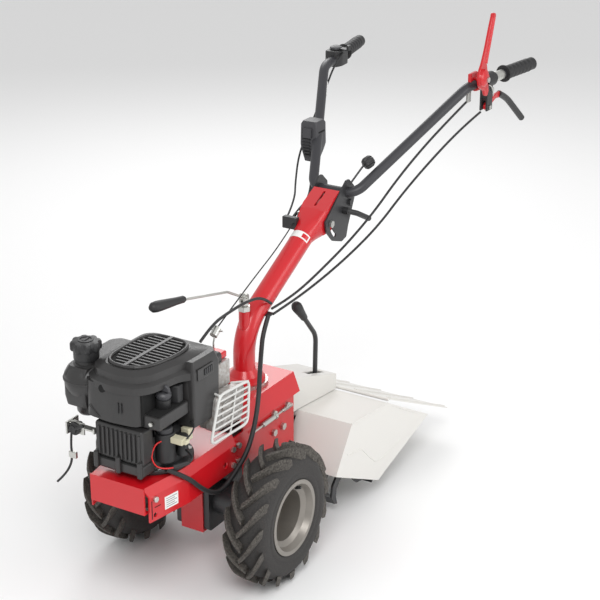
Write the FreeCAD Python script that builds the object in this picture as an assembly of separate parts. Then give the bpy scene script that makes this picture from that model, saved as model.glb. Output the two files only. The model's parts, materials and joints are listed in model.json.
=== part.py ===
"""Two-wheel walking tractor with a front engine and a rear rotary tiller.

Millimetres, +Z up, -Y towards the engine, +Y towards the operator, +X to the
operator's left.  Pieces are drawn with the wheel axle above y = 0 and are moved
along Y at the end, so that the origin lies on the ground below the middle.
"""
import FreeCAD, Part
import math
import os

V = FreeCAD.Vector

# --- driving dimensions ---------------------------------------------------
WHEEL_RADIUS = 166.0        # over the tread lugs
TYRE_WIDTH = 98.0
WHEEL_X = 194.0             # half track
RIM_RADIUS = 89.0           # over the rim flange
AXLE_RADIUS = 12.5
SHEET = 4.0                 # frame plate
DECK_TOP = 345.0            # engine mounting face
DECK_FRONT = -332.0
CRANK_Y = -200.0            # vertical crankshaft
CRANK_RADIUS = 12.5
INPUT_Y = 48.0              # vertical gearbox input shaft
PTO_Z = 191.0               # rear power take-off
FRAME_TOP = 380.0
FRAME_HALF = 86.0
FRAME_REAR = 252.0
COLUMN_Y = 170.0            # swivel axis of the steering column
COLUMN_RADIUS = 26.0
ROTOR_Y = 390.0
ROTOR_Z = 118.0
ROTOR_RADIUS = 117.0
HOOD_HALF = 210.0
HOOD_SHEET = 3.0
BAR_RADIUS = 12.5           # handlebar tube
BAR_Y = 588.0
BAR_Z = 737.0
TILT_Y = 569.0              # pivot of the handlebar clamp
TILT_Z = 697.0
TILT_SWING = 35             # degrees the bars can be lowered
SLOT_BOLT_Y = 503.0         # bolt that runs in the clamp's curved slot
SLOT_BOLT_Z = 681.0
HEAD_HALF = 36.0            # half width of the column head
CLAMP_PLATE = 4.0
LOCK_Y = 173.0              # eccentric lever on top of the column stub
LOCK_Z = 594.0
DRIVE_LEVER_SPOT = (917.0, 980.0)
CLUTCH_LEVER_SPOT = (985.0, 891.0)
ELBOW = (210.0, 900.0, 960.0)
GRIP_END = (261.5, 1189.0, 968.0)
WORM_MODULE = 3.0
WORM_RADIUS = 12.0          # pitch radius of the axle worm
AXLE_WHEEL_TEETH = 24
TILLER_MODULE = 4.0
TILLER_WORM_RADIUS = 13.0
TILLER_WHEEL_TEETH = 30
BELT_Z = (286.0, 300.0)
DRIVE_PULLEY_RADIUS = 35.0
DRIVEN_PULLEY_RADIUS = 60.0
IDLER_PIN = (-72.0, -32.0)
FIT = 0.05                  # radial clearance of running fits
GAP = 0.4                   # clearance beside moving pieces
ORIGIN_SHIFT = -433.353       # axle line to the middle of the whole length

FRONT = V(0, -1, 0)
REAR = V(0, 1, 0)
LEFT = V(1, 0, 0)
UP = V(0, 0, 1)


# --- shape helpers --------------------------------------------------------
def box(xs, ys, zs):
    size = [hi - lo for lo, hi in (xs, ys, zs)]
    return Part.makeBox(size[0], size[1], size[2], V(xs[0], ys[0], zs[0]))


def rod(start, end, radius):
    line = V(*end) - V(*start)
    return Part.makeCylinder(radius, line.Length, V(*start), line)


def pipe(start, end, outer, inner):
    return rod(start, end, outer).cut(rod(start, end, inner))


def fuse(*shapes):
    whole = shapes[0].multiFuse(list(shapes[1:])) if len(shapes) > 1 else shapes[0]
    return whole.removeSplitter()


def group(*shapes):
    solids = [solid for shape in shapes for solid in shape.Solids]
    return Part.makeCompound(solids)


def prism(points, depth):
    """Extrude a closed polygon of 3-D points along the vector depth."""
    outline = Part.makePolygon([V(*p) for p in points] + [V(*points[0])])
    return Part.Face(outline).extrude(depth)


def plate_x(outline_yz, x0, x1):
    return prism([(x0, y, z) for y, z in outline_yz], V(x1 - x0, 0, 0))


def plate_y(outline_xz, y0, y1):
    return prism([(x, y0, z) for x, z in outline_xz], V(0, y1 - y0, 0))


def plate_z(outline_xy, z0, z1):
    return prism([(x, y, z0) for x, y in outline_xy], V(0, 0, z1 - z0))


def turned(profile, origin, axis, side):
    """Revolve (radius, height) points about an axis; side is a normal to it."""
    points = [V(*origin) + side * r + axis * h for r, h in profile]
    face = Part.Face(Part.makePolygon(points + [points[0]]))
    return face.revolve(V(*origin), axis, 360)


def mirror(shape):
    return shape.mirror(V(0, 0, 0), LEFT)


def both(shape):
    return group(shape, mirror(shape))


def round_edges(shape, radius, direction=None):
    """Fillet the straight edges, or only those that run along a direction."""
    edges = [e for e in shape.Edges if isinstance(e.Curve, Part.Line)]
    if direction is not None:
        edges = [e for e in edges if abs(abs(e.Curve.Direction.dot(direction)) - 1) < 1e-6]
    return shape.makeFillet(radius, edges)


def centre_line(points, radii):
    """Straight runs joined by tangent arcs, one radius for each inner point."""
    points = [V(*p) for p in points]
    edges = []
    start = points[0]
    for before, corner, after, radius in zip(points, points[1:], points[2:], radii):
        inward = (before - corner).normalize()
        outward = (after - corner).normalize()
        turn = math.pi - inward.getAngle(outward)
        back = radius * math.tan(turn / 2)
        middle = (inward + outward).normalize() * (radius / math.cos(turn / 2) - radius)
        edges.append(Part.makeLine(start, corner + inward * back))
        arc = Part.Arc(corner + inward * back, corner + middle, corner + outward * back)
        edges.append(arc.toShape())
        start = corner + outward * back
    edges.append(Part.makeLine(start, points[-1]))
    return Part.Wire(edges)


def bent_rod(points, radii, radius):
    path = centre_line(points, radii)
    first = V(*points[0])
    ring = Part.Wire(Part.makeCircle(radius, first, V(*points[1]) - first))
    return path.makePipeShell([ring], True, True)


def cable(points, radius, name):
    """A sheathed cable whose arcs are as large as its neighbouring runs allow."""
    spots = [V(*p) for p in points]
    radii = []
    for before, corner, after in zip(spots, spots[1:], spots[2:]):
        turn = math.pi - (before - corner).getAngle(after - corner)
        run = min((before - corner).Length, (after - corner).Length)
        radii.append(0.45 * run / math.tan(turn / 2))
    print(name, "arc radii", [round(r) for r in radii])
    solid = bent_rod(points, radii, radius)
    length = centre_line(points, radii).Length
    print(name, "length", round(length), "volume ratio",
          round(solid.Volume / (math.pi * radius ** 2 * length), 4))
    return solid


def hexagon(centre, axis, across, height):
    """Hexagonal bolt head or nut standing on a face."""
    corner = across / math.sqrt(3)
    turn = FreeCAD.Rotation(UP, axis)
    ring = [V(*centre) + turn.multVec(V(corner * math.cos(a), corner * math.sin(a), 0))
            for a in (math.radians(60 * k) for k in range(6))]
    return Part.Face(Part.makePolygon(ring + [ring[0]])).extrude(axis * height)


def bolt(centre, axis, size, shank):
    """Bolt head outside a face, with its shank going back into the hole."""
    head = hexagon(centre, axis, size * 1.6, size * 0.65)
    return fuse(head, rod(centre, V(*centre) - axis * shank, size / 2))


# --- gears and pulleys ----------------------------------------------------
def worm(origin, axis, mesh_side, module, pitch_radius, core_length):
    """Right-hand worm whose thread faces mesh_side at the middle."""
    pitch = math.pi * module
    length = pitch * 4
    root = pitch_radius - module * 1.1
    tip = pitch_radius + module * 0.85
    helix = Part.makeHelix(pitch, length, root)
    tooth = [(root - 0.6, -0.20 * pitch), (tip, -0.08 * pitch),
             (tip, 0.08 * pitch), (root - 0.6, 0.20 * pitch)]
    corners = [V(r, 0, h) for r, h in tooth]
    profile = Part.makePolygon(corners + [corners[0]])
    thread = Part.Wire(helix).makePipeShell([profile], True, True)
    thread.translate(V(0, 0, -length / 2))
    core = rod((0, 0, -core_length / 2), (0, 0, core_length / 2), root)
    body = fuse(core, thread)
    keep = 1.15 * pitch
    sleeve = pipe((0, 0, -core_length), (0, 0, core_length), tip + 5, root)
    body = body.cut(sleeve.cut(rod((0, 0, -keep), (0, 0, keep), tip + 6)))
    lay = FreeCAD.Rotation(UP, axis)
    swing = FreeCAD.Rotation(lay.multVec(LEFT), mesh_side)
    body.Placement = FreeCAD.Placement(V(*origin), swing.multiply(lay))
    return body


def worm_wheel(centre, module, teeth, worm_radius, width, bore, mesh_angle):
    """Wheel about X whose tooth space faces mesh_angle in the YZ plane."""
    pitch_radius = module * teeth / 2
    lead = math.degrees(math.atan(module / 2 / worm_radius))
    blank = rod((-width / 2, 0, 0), (width / 2, 0, 0), pitch_radius + module * 0.8)
    blank = blank.cut(rod((-width, 0, 0), (width, 0, 0), bore))
    depth = module * 2.1
    space = math.pi * module * 0.66
    slot = box((-width, width), (pitch_radius - module * 1.25, pitch_radius + depth),
               (-space / 2, space / 2))
    slot.rotate(V(0, 0, 0), REAR, lead)
    spaces = []
    for k in range(teeth):
        copy = slot.copy()
        copy.rotate(V(0, 0, 0), LEFT, mesh_angle + 360.0 * k / teeth)
        spaces.append(copy)
    wheel = blank.cut(Part.makeCompound(spaces))
    wheel.translate(V(*centre))
    return wheel


def bevel_gear(apex, axis, side, far, near, teeth, bore, space_first):
    """Mitre gear on an axis; far and near are its distances from the apex."""
    raise_tip = 1.6
    profile = [(bore, near), (near + raise_tip, near - raise_tip),
               (far + raise_tip, far - raise_tip), (far - 4, far + 4), (bore, far + 4)]
    blank = turned(profile, apex, axis, side)
    slot = box((near, far * 2), (-3.3, 3.3), (0.0, 9.0))
    slot.translate(V(0, 0, -3.0))
    slot.rotate(V(0, 0, 0), REAR, -45)
    lay = Part.makeCompound([slot])
    matrix = FreeCAD.Matrix(side.x, axis.cross(side).x, axis.x, apex[0],
                            side.y, axis.cross(side).y, axis.y, apex[1],
                            side.z, axis.cross(side).z, axis.z, apex[2], 0, 0, 0, 1)
    spaces = []
    for k in range(teeth):
        copy = lay.copy()
        copy.rotate(V(0, 0, 0), UP, 360.0 * (k + (0 if space_first else 0.5)) / teeth)
        spaces.append(copy.transformGeometry(matrix))
    return blank.cut(spaces)


def v_pulley(y, radius, bore):
    """Grooved pulley on a vertical shaft at x = 0."""
    low, high = BELT_Z
    middle = (low + high) / 2
    rim = radius + 4
    profile = [(bore, low - 4), (rim, low - 4), (rim, low - 1), (radius - 9, middle - 4.5),
               (radius - 9, middle + 4.5), (rim, high + 1), (rim, high + 4), (bore, high + 4)]
    return turned(profile, (0, y, 0), UP, LEFT)


# --- frame ----------------------------------------------------------------
def engine_deck():
    """Folded engine tray with the strap that runs below the gearbox as a skid."""
    drop = V(10, 10, -22)
    top_half = [V(68, DECK_FRONT, DECK_TOP), V(88, -215, DECK_TOP), V(88, -20, DECK_TOP)]
    side_half = [top_half[0] + drop, top_half[1] + drop, V(98, -20, DECK_TOP + drop.z)]
    outline = [(p.x, p.y) for p in top_half] + [(-p.x, p.y) for p in reversed(top_half)]
    pieces = [plate_z(outline, DECK_TOP - SHEET, DECK_TOP)]
    for k in range(2):
        quad = [top_half[k], top_half[k + 1], side_half[k + 1], side_half[k]]
        bevel = prism([tuple(p) for p in quad], V(-SHEET, 0, -SHEET / 2))
        foot = [V(p.x, p.y, 262) for p in (side_half[k + 1], side_half[k])]
        wall = [side_half[k], side_half[k + 1]] + foot
        flange = prism([tuple(p) for p in wall], V(-SHEET, 0, 0))
        pieces += [bevel, mirror(bevel), flange, mirror(flange)]
    front = box((-71, 71), (DECK_FRONT, DECK_FRONT + SHEET), (282, DECK_TOP))
    lip = box((-71, 71), (DECK_FRONT, DECK_FRONT + 16), (282, 282 + SHEET))
    strap = [(-59, DECK_TOP - SHEET), (-59, 94), (99, 94), (99, 176), (95, 176), (95, 98),
             (-55, 98), (-55, DECK_TOP - SHEET)]
    deck = fuse(*pieces, front, lip, plate_x(strap, -30, 30))
    side_holes = [rod((side * 60, y, z), (side * 120, y, z), r) for side in (1, -1)
                  for y, z, r in ((-306, 276, 5.5), (-62, 287, 8.0))]
    engine_holes = [rod((x, CRANK_Y + y, 330), (x, CRANK_Y + y, 350), 4.6)
                    for x, y in engine_bolt_spots()]
    joint_holes = [rod((-120, y, z), (120, y, z), 4.1) for y, z in joint_bolt_spots()]
    round_holes = [rod((0, CRANK_Y, DECK_TOP - 10), (0, CRANK_Y, DECK_TOP + 10), 32),
                   rod((*IDLER_PIN, 330), (*IDLER_PIN, 350), 5 + FIT)]
    return deck.cut(Part.makeCompound(side_holes + engine_holes + joint_holes + round_holes))


def engine_bolt_spots():
    return [(56 * sx, 56 * sy) for sx in (-1, 1) for sy in (-1, 1)]


def joint_bolt_spots():
    return [(-8 - 24 * k, z) for k in range(2) for z in (275, 315)]


def rear_frame():
    """Open-bottomed box behind the deck; it carries the column and the gearbox."""
    outer = [(70, FRAME_TOP), (FRAME_HALF, 335), (FRAME_HALF, 172), (-FRAME_HALF, 172),
             (-FRAME_HALF, 335), (-70, FRAME_TOP)]
    inner = [(68, FRAME_TOP - SHEET), (FRAME_HALF - SHEET, 334), (FRAME_HALF - SHEET, 100),
             (-FRAME_HALF + SHEET, 100), (-FRAME_HALF + SHEET, 334), (-68, FRAME_TOP - SHEET)]
    shell = plate_y(outer, 30, FRAME_REAR).cut(plate_y(inner, 0, FRAME_REAR - SHEET))
    shell = shell.cut(box((-200, 200), (0, 62), (100, 212)))
    tongue = box((-FRAME_HALF, -FRAME_HALF + SHEET), (-50, 31), (266, 330))
    cap = plate_y([(70, FRAME_TOP), (88, 333), (88 - SHEET, 333), (68, FRAME_TOP - SHEET),
                   (-68, FRAME_TOP - SHEET), (-88 + SHEET, 333), (-88, 333),
                   (-70, FRAME_TOP)], 30, FRAME_REAR + 26)
    frame = fuse(shell, cap, tongue, mirror(tongue))
    tongue_pads = [box((FRAME_HALF - 1, 94), (y - 6, y + 6), (z - 6, z + 6))
                   for y, z in joint_bolt_spots()]
    pads = [pad for solid in tongue_pads for pad in (solid, mirror(solid))]
    frame = fuse(frame, *pads)
    holes = [rod((0, COLUMN_Y, FRAME_TOP - 20), (0, COLUMN_Y, FRAME_TOP + 5), 22),
             rod((0, FRAME_REAR - 10, PTO_Z), (0, FRAME_REAR + 40, PTO_Z), 26)]
    holes += [rod((-120, y, z), (120, y, z), 4.1) for y, z in joint_bolt_spots()]
    holes += [rod((x, 240, z), (x, 262, z), 5.2) for x, z in coupling_bolt_spots()]
    holes += [rod((-120, y, z), (120, y, z), 5.2) for y, z in side_bolt_spots()]
    return frame.cut(Part.makeCompound(holes))


def coupling_bolt_spots():
    return [(42 * sx, PTO_Z + 42 * sz) for sx in (-1, 1) for sz in (0, 1)]


def side_bolt_spots():
    return [(160, 321), (219, 319), (160, 272), (200, 272)]


def slew_ring():
    """Toothed ring below the column, bolted to the frame."""
    ring = pipe((0, COLUMN_Y, FRAME_TOP), (0, COLUMN_Y, FRAME_TOP + 8), 56, 22)
    notches = []
    for k in range(24):
        angle = math.radians(15 * k)
        x = 57 * math.cos(angle)
        y = COLUMN_Y + 57 * math.sin(angle)
        notches.append(rod((x, y, FRAME_TOP - 1), (x, y, FRAME_TOP + 9), 3.2))
    return ring.cut(Part.makeCompound(notches))


def gear_case():
    """Cast gearbox with its two axle tubes and an upright input bore."""
    walls = round_edges(box((-45, 45), (-55, 95), (98, 262)), 10, LEFT)
    cavity = box((-36, 36), (-47, 87), (106, 254))
    case = walls.cut(cavity)
    tube = pipe((44, 0, WHEEL_RADIUS), (128, 0, WHEEL_RADIUS), 40, 33)
    end = pipe((122, 0, WHEEL_RADIUS), (128, 0, WHEEL_RADIUS), 39, 10)
    boss = pipe((30, 0, WHEEL_RADIUS), (45, 0, WHEEL_RADIUS), 24, 10)
    case = fuse(case, tube, end, boss, mirror(tube), mirror(end), mirror(boss))
    bores = [rod((-140, 0, WHEEL_RADIUS), (140, 0, WHEEL_RADIUS), AXLE_RADIUS + FIT),
             rod((0, INPUT_Y, 90), (0, INPUT_Y, 270), 10 + FIT),
             rod((0, 80, PTO_Z), (0, 110, PTO_Z), 9 + FIT)]
    return case.cut(Part.makeCompound(bores))


def frame_bolts():
    """All the hexagon bolts of the frame, engine and coupling."""
    bolts = [bolt((98, y, z), LEFT, 8, 15) for y, z in joint_bolt_spots()]
    bolts += [bolt((FRAME_HALF, y, z), LEFT, 10, SHEET) for y, z in side_bolt_spots()]
    pairs = [shape for solid in bolts for shape in (solid, mirror(solid))]
    rear = [bolt((x, FRAME_REAR + 8, z), REAR, 10, 12) for x, z in coupling_bolt_spots()]
    base = [bolt((x, CRANK_Y + y, DECK_TOP + 8), UP, 9, 14) for x, y in engine_bolt_spots()]
    return group(*pairs, *rear, *base)


# --- engine ---------------------------------------------------------------
def crankcase():
    """Round crankcase with its mounting flange and the filler neck."""
    z0 = DECK_TOP
    body = turned([(12.5 + FIT, z0), (86, z0), (86, z0 + 8), (70, z0 + 8), (70, z0 + 85),
                   (60, z0 + 92), (12.5 + FIT, z0 + 92), (12.5 + FIT, z0 + 84),
                   (60, z0 + 84), (62, z0 + 80), (62, z0 + 10), (12.5 + FIT, z0 + 10)],
                  (0, CRANK_Y, 0), UP, LEFT)
    spigot = rod((0, CRANK_Y, z0 - SHEET - 8), (0, CRANK_Y, z0 + 2), 31)
    spigot = spigot.cut(rod((0, CRANK_Y, z0 - 30), (0, CRANK_Y, z0 + 8), 12.5 + FIT))
    neck = rod((52, -236, 400), (66, -244, 523), 11)
    holes = [rod((x, CRANK_Y + y, z0 - 1), (x, CRANK_Y + y, z0 + 9), 4.6)
             for x, y in engine_bolt_spots()]
    case = fuse(body, spigot, neck)
    case = case.cut(Part.makeCompound(holes))
    return case.cut(rod((0, CRANK_Y, z0 + 10.5), (0, CRANK_Y, z0 + 79.5), 60))


def cylinder():
    """Finned cylinder lying rearwards from the crankcase."""
    barrel = rod((10, -134, 470), (10, -60, 470), 36)
    fins = [box((-40, 60), (y, y + 3), (420, 520)) for y in range(-124, -66, 9)]
    fins = [round_edges(fin, 12, REAR) for fin in fins]
    foot = box((-26, 46), (-150, -128), (438, 506))
    return fuse(barrel, foot, *fins)


def rocker_cover():
    """Cylinder head and its pressed cover."""
    head = box((-44, 66), (-60, -38), (418, 524))
    cover = round_edges(box((-38, 60), (-38, -8), (430, 512)), 9)
    return fuse(head, cover)


def blower_housing():
    """Engine shroud, open below, with the intake and the filler recess."""
    outline = [(-95, -300), (-83, -312), (62, -312), (84, -300), (84, -190), (100, -182),
               (100, -86), (86, -72), (-80, -72), (-95, -90)]
    outer = plate_z(outline, 470, 566)
    skirt = plate_z([(84, -190), (100, -182), (100, -86), (86, -72), (40, -72), (40, -190)],
                    432, 474)
    dome = Part.makeLoft([
        rounded_rectangle((-92, 82), (-309, -75), 566, 24),
        rounded_rectangle((-70, 70), (-298, -100), 588, 30)], True, True)
    shell = fuse(outer, skirt, dome)
    inner = plate_z([(-91, -298), (-81, -308), (60, -308), (80, -297), (80, -188), (96, -179),
                     (96, -88), (84, -76), (-78, -76), (-91, -92)], 420, 562)
    inner_dome = Part.makeLoft([
        rounded_rectangle((-88, 78), (-305, -79), 561, 22),
        rounded_rectangle((-67, 67), (-295, -103), 584, 28)], True, True)
    recess = box((48, 120), (-296, -225), (476, 558))
    pocket_wall = box((44, 84), (-300, -221), (472, 562)).cut(recess)
    shell = shell.cut(inner).cut(inner_dome)
    shell = shell.cut(box((30, 90), (-192, -76), (420, 440)))
    shell = fuse(shell, pocket_wall.common(plate_z(outline, 470, 562)))
    openings = [recess, rod((0, CRANK_Y, 570), (0, CRANK_Y, 600), 58),
                rod((52, -236, 400), (66, -244, 523), 11.2)]
    rear_gap = box((-44, 66), (-80, -60), (400, 526))
    cable_hole = rod((-14, -320, 550), (-14, -290, 550), 7)
    shell = shell.cut(Part.makeCompound(openings + [cable_hole])).cut(rear_gap)
    return shell


def rounded_rectangle(xs, ys, z, radius):
    """Closed wire with round corners at a height."""
    (x0, x1), (y0, y1) = xs, ys
    face = Part.makePlane(x1 - x0, y1 - y0, V(x0, y0, z))
    solid = round_edges(face.extrude(V(0, 0, 1)), radius, UP)
    bottom = [f for f in solid.Faces if abs(f.CenterOfMass.z - z) < 1e-6][0]
    return bottom.OuterWire


def cooling_grille():
    """Slotted intake screen on top of the shroud."""
    rim = Part.Face(rounded_rectangle((-64, 64), (-293, -107), 588, 26)).extrude(V(0, 0, 6))
    slots = []
    for k in range(13):
        y = -277 + 13 * k
        for x0, x1 in ((-54, -6), (6, 54)):
            slots.append(box((x0, x1), (y - 2.7, y + 2.7), (580, 600)))
    grille = rim.cut(Part.makeCompound(slots))
    return grille.cut(box((-52, 52), (-284, -112), (580, 590)))


def fuel_tank():
    """Tank on the cool side of the shroud with its filler neck."""
    outer = round_edges(box((-162, -98), (-312, -110), (474, 566)), 20, UP)
    inner = round_edges(box((-158, -102), (-308, -114), (478, 562)), 17, UP)
    neck = pipe((-120, -262, 560), (-120, -262, 592), 24.5, 20)
    foot = box((-98.2, -95), (-250, -160), (490, 540))
    tank = fuse(outer, neck, foot).cut(inner)
    return tank.cut(rod((-120, -262, 555), (-120, -262, 600), 20))


def fuel_cap():
    """Lobed screw cap over the filler neck."""
    top = rod((-120, -262, 594), (-120, -262, 618), 31)
    scallops = []
    for k in range(8):
        angle = math.radians(45 * k)
        x = -120 + 36 * math.cos(angle)
        y = -262 + 36 * math.sin(angle)
        scallops.append(rod((x, y, 590), (x, y, 622), 7.5))
    skirt = pipe((-120, -262, 576), (-120, -262, 595), 31, 24.5 + FIT)
    return fuse(top, skirt).cut(Part.makeCompound(scallops))


def oil_cap():
    """Dipstick cap with a T-shaped finger grip, leaning with its neck."""
    foot = V(66, -244, 523.4)
    axis = V(14, -8, 123).normalize()
    plug = Part.makeCylinder(15, 14, foot, axis)
    grip = box((-18, 18), (-5, 5), (14, 30))
    grip = round_edges(grip, 4, REAR)
    grip.Placement = FreeCAD.Placement(foot, FreeCAD.Rotation(UP, axis))
    return fuse(plug, grip)


def air_filter_cover():
    """Ribbed cover low on the front of the engine."""
    outer = round_edges(box((-66, 58), (-314, -271), (362, 464)), 8, UP)
    inner = box((-61, 53), (-308, -260), (367, 459))
    ribs = [box((x, x + 4), (-318, -312), (380, 456)) for x in range(-52, 50, 12)]
    clips = [box((x, x + 9), (-321, -312), (356, 380)) for x in (-58, -8, 42)]
    return fuse(outer.cut(inner), *ribs, *clips)


def muffler():
    """Exhaust box beside the cylinder, thinner where the side cover passes."""
    outline = [(-128, 398), (-14, 388), (0, 470), (-112, 482)]
    front = round_edges(plate_x(outline, 101, 115), 8, LEFT)
    behind = plate_x([(-122, 402), (-20, 392), (-10, 462), (-66, 468), (-66, 428),
                      (-118, 428)], 74, 101)
    stub = rod((72, -48, 440), (76, -48, 440), 14)
    outlet = rod((96, -118, 412), (96, -140, 408), 9)
    return fuse(front, behind, stub, outlet)


def muffler_guard():
    """Welded wire guard around the muffler."""
    wire = 2.6
    corners = [(122, -152, 384), (122, -4, 376), (122, 4, 478), (122, -114, 488)]
    ring = [rod(a, b, wire) for a, b in zip(corners, corners[1:] + corners[:1])]
    balls = [Part.makeSphere(wire, V(*c)) for c in corners]
    bars = []
    for k in range(1, 8):
        t = k / 8
        low = V(*corners[0]) + (V(*corners[3]) - V(*corners[0])) * t
        high = V(*corners[1]) + (V(*corners[2]) - V(*corners[1])) * t
        bars.append(rod(low, high, wire - 0.6))
    feet = [(108, -108, 474), (108, -8, 462), (108, -24, 396)]
    stays = [rod(start, end, wire)
             for start, end in zip((corners[3], corners[2], corners[1]), feet)]
    return fuse(*ring, *balls, *bars, *stays).cut(muffler())


def throttle_bracket():
    """Speed control bracket below the fuel tank."""
    arm = box((-128, -66), (-316, -300), (436, 440))
    ear = box((-132, -128), (-330, -290), (424, 452))
    foot = box((-70, -66), (-316, -262), (432, 444))
    drum = rod((-128, -310, 438), (-110, -310, 438), 12)
    return fuse(arm, ear, foot, drum)


def crankshaft():
    """Upright crankshaft with its throw and counterweight."""
    z0 = DECK_TOP
    lower = rod((0, CRANK_Y, 270), (0, CRANK_Y, z0 + 26), CRANK_RADIUS)
    upper = rod((0, CRANK_Y, z0 + 66), (0, CRANK_Y, 560), CRANK_RADIUS)
    pin = rod((0, CRANK_Y + 22, z0 + 26), (0, CRANK_Y + 22, z0 + 66), 11)
    webs = [round_edges(box((-20, 20), (CRANK_Y - 38, CRANK_Y + 36), (z, z + 12)), 9, UP)
            for z in (z0 + 20, z0 + 60)]
    return fuse(lower, upper, pin, *webs)


def flywheel():
    """Flywheel with cooling fan blades below the intake screen."""
    disc = turned([(12.5, 530), (48, 530), (48, 542), (24, 546), (24, 556), (12.5, 556)],
                  (0, CRANK_Y, 0), UP, LEFT)
    blades = []
    for k in range(12):
        blade = box((20, 45), (-1.5, 1.5), (538, 560))
        blade.rotate(V(0, 0, 0), UP, 30 * k)
        blade.translate(V(0, CRANK_Y, 0))
        blades.append(blade)
    return fuse(disc, *blades)


# --- drive train ----------------------------------------------------------
def drive_pulley():
    return v_pulley(CRANK_Y, DRIVE_PULLEY_RADIUS, CRANK_RADIUS)


def driven_pulley():
    return v_pulley(INPUT_Y, DRIVEN_PULLEY_RADIUS, 10)


def belt_loop(grow):
    """Outline round both pulleys as one flat face, grown by a distance."""
    small = DRIVE_PULLEY_RADIUS + grow
    large = DRIVEN_PULLEY_RADIUS + grow
    span = INPUT_Y - CRANK_Y
    lean = math.asin((large - small) / span)
    spots = [(side * math.cos(lean), -math.sin(lean)) for side in (1, -1)]
    band = [V(spots[0][0] * small, CRANK_Y + spots[0][1] * small, 0),
            V(spots[0][0] * large, INPUT_Y + spots[0][1] * large, 0),
            V(spots[1][0] * large, INPUT_Y + spots[1][1] * large, 0),
            V(spots[1][0] * small, CRANK_Y + spots[1][1] * small, 0)]
    far = Part.Arc(band[1], V(0, INPUT_Y + large, 0), band[2]).toShape()
    near = Part.Arc(band[3], V(0, CRANK_Y - small, 0), band[0]).toShape()
    wire = Part.Wire([Part.makeLine(band[0], band[1]), far,
                      Part.makeLine(band[2], band[3]), near])
    return Part.Face(wire)


def drive_belt():
    """V-belt that lies in the grooves with a thin gap all round."""
    low, high = BELT_Z
    layers = []
    for k in range(3):
        inset = 2.0 * (2 - k)
        grow = (-6.5, -3.5, -0.5)[k]
        outer = belt_loop(grow + 3.0)
        inner = belt_loop(grow)
        layer = outer.cut(inner).extrude(V(0, 0, high - low - 2 * inset - 1.6))
        layer.translate(V(0, 0, low + inset + 0.8))
        layers.append(layer)
    return fuse(*layers)


def idler():
    """Clutch arm that presses its roller towards the slack run of the belt."""
    x, y = IDLER_PIN
    arm = plate_z([(x - 6, y + 6), (x + 6, y + 6), (x + 7, y - 72), (x - 5, y - 72)], 302, 307)
    pin = rod((x, y, 302), (x, y, 349), 5)
    roller = rod((x + 1, y - 66, 284), (x + 1, y - 66, 302.5), 12)
    return fuse(arm, pin, roller)


def input_shaft():
    """Upright gearbox shaft: worm for the axle and mitre gear for the take-off."""
    lower = rod((0, INPUT_Y, 98), (0, INPUT_Y, 132), 10)
    upper = rod((0, INPUT_Y, 200), (0, INPUT_Y, 312), 10)
    screw = worm((0, INPUT_Y, WHEEL_RADIUS), UP, FRONT, WORM_MODULE, WORM_RADIUS, 76)
    gear = bevel_gear((0, INPUT_Y, PTO_Z), UP, REAR, 28, 20, 16, 6, True)
    return fuse(lower, upper, screw, gear)


def axle_worm_wheel():
    return worm_wheel((0, 0, WHEEL_RADIUS), WORM_MODULE, AXLE_WHEEL_TEETH, WORM_RADIUS,
                      9, AXLE_RADIUS + FIT, 0)


def pto_shaft():
    spindle = rod((0, 70, PTO_Z), (0, 300, PTO_Z), 9)
    gear = bevel_gear((0, INPUT_Y, PTO_Z), REAR, UP, 28, 20, 16, 6, False)
    return fuse(spindle, gear)


def axle_shaft():
    return rod((-180, 0, WHEEL_RADIUS), (180, 0, WHEEL_RADIUS), AXLE_RADIUS)


def rim():
    """Deep-dish pressed rim with its welded hub."""
    half = TYRE_WIDTH / 2 - 1
    wall = 3.0
    dish = [(RIM_RADIUS, half), (RIM_RADIUS, half - wall), (78, half - wall - 2),
            (75, half - 16), (66, half - 22), (64, -half + 22), (76, -half + 16),
            (78, -half + 5), (RIM_RADIUS, -half + 3), (RIM_RADIUS, -half),
            (79, -half), (73, -half + 14), (61, -half + 20), (58, -24),
            (15, -24), (15, -20), (57, -20), (60, half - 22), (72, half - 14), (79, half)]
    shell = turned(dish, (WHEEL_X, 0, WHEEL_RADIUS), LEFT, UP)
    hub = pipe((WHEEL_X - 56, 0, WHEEL_RADIUS), (WHEEL_X - 14, 0, WHEEL_RADIUS), 22,
               AXLE_RADIUS)
    holes = []
    for k in range(4):
        angle = math.radians(45 + 90 * k)
        y = 40 * math.cos(angle)
        z = WHEEL_RADIUS + 40 * math.sin(angle)
        holes.append(rod((WHEEL_X - 30, y, z), (WHEEL_X - 10, y, z), 5.2))
    return fuse(shell, hub).cut(Part.makeCompound(holes))


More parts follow.
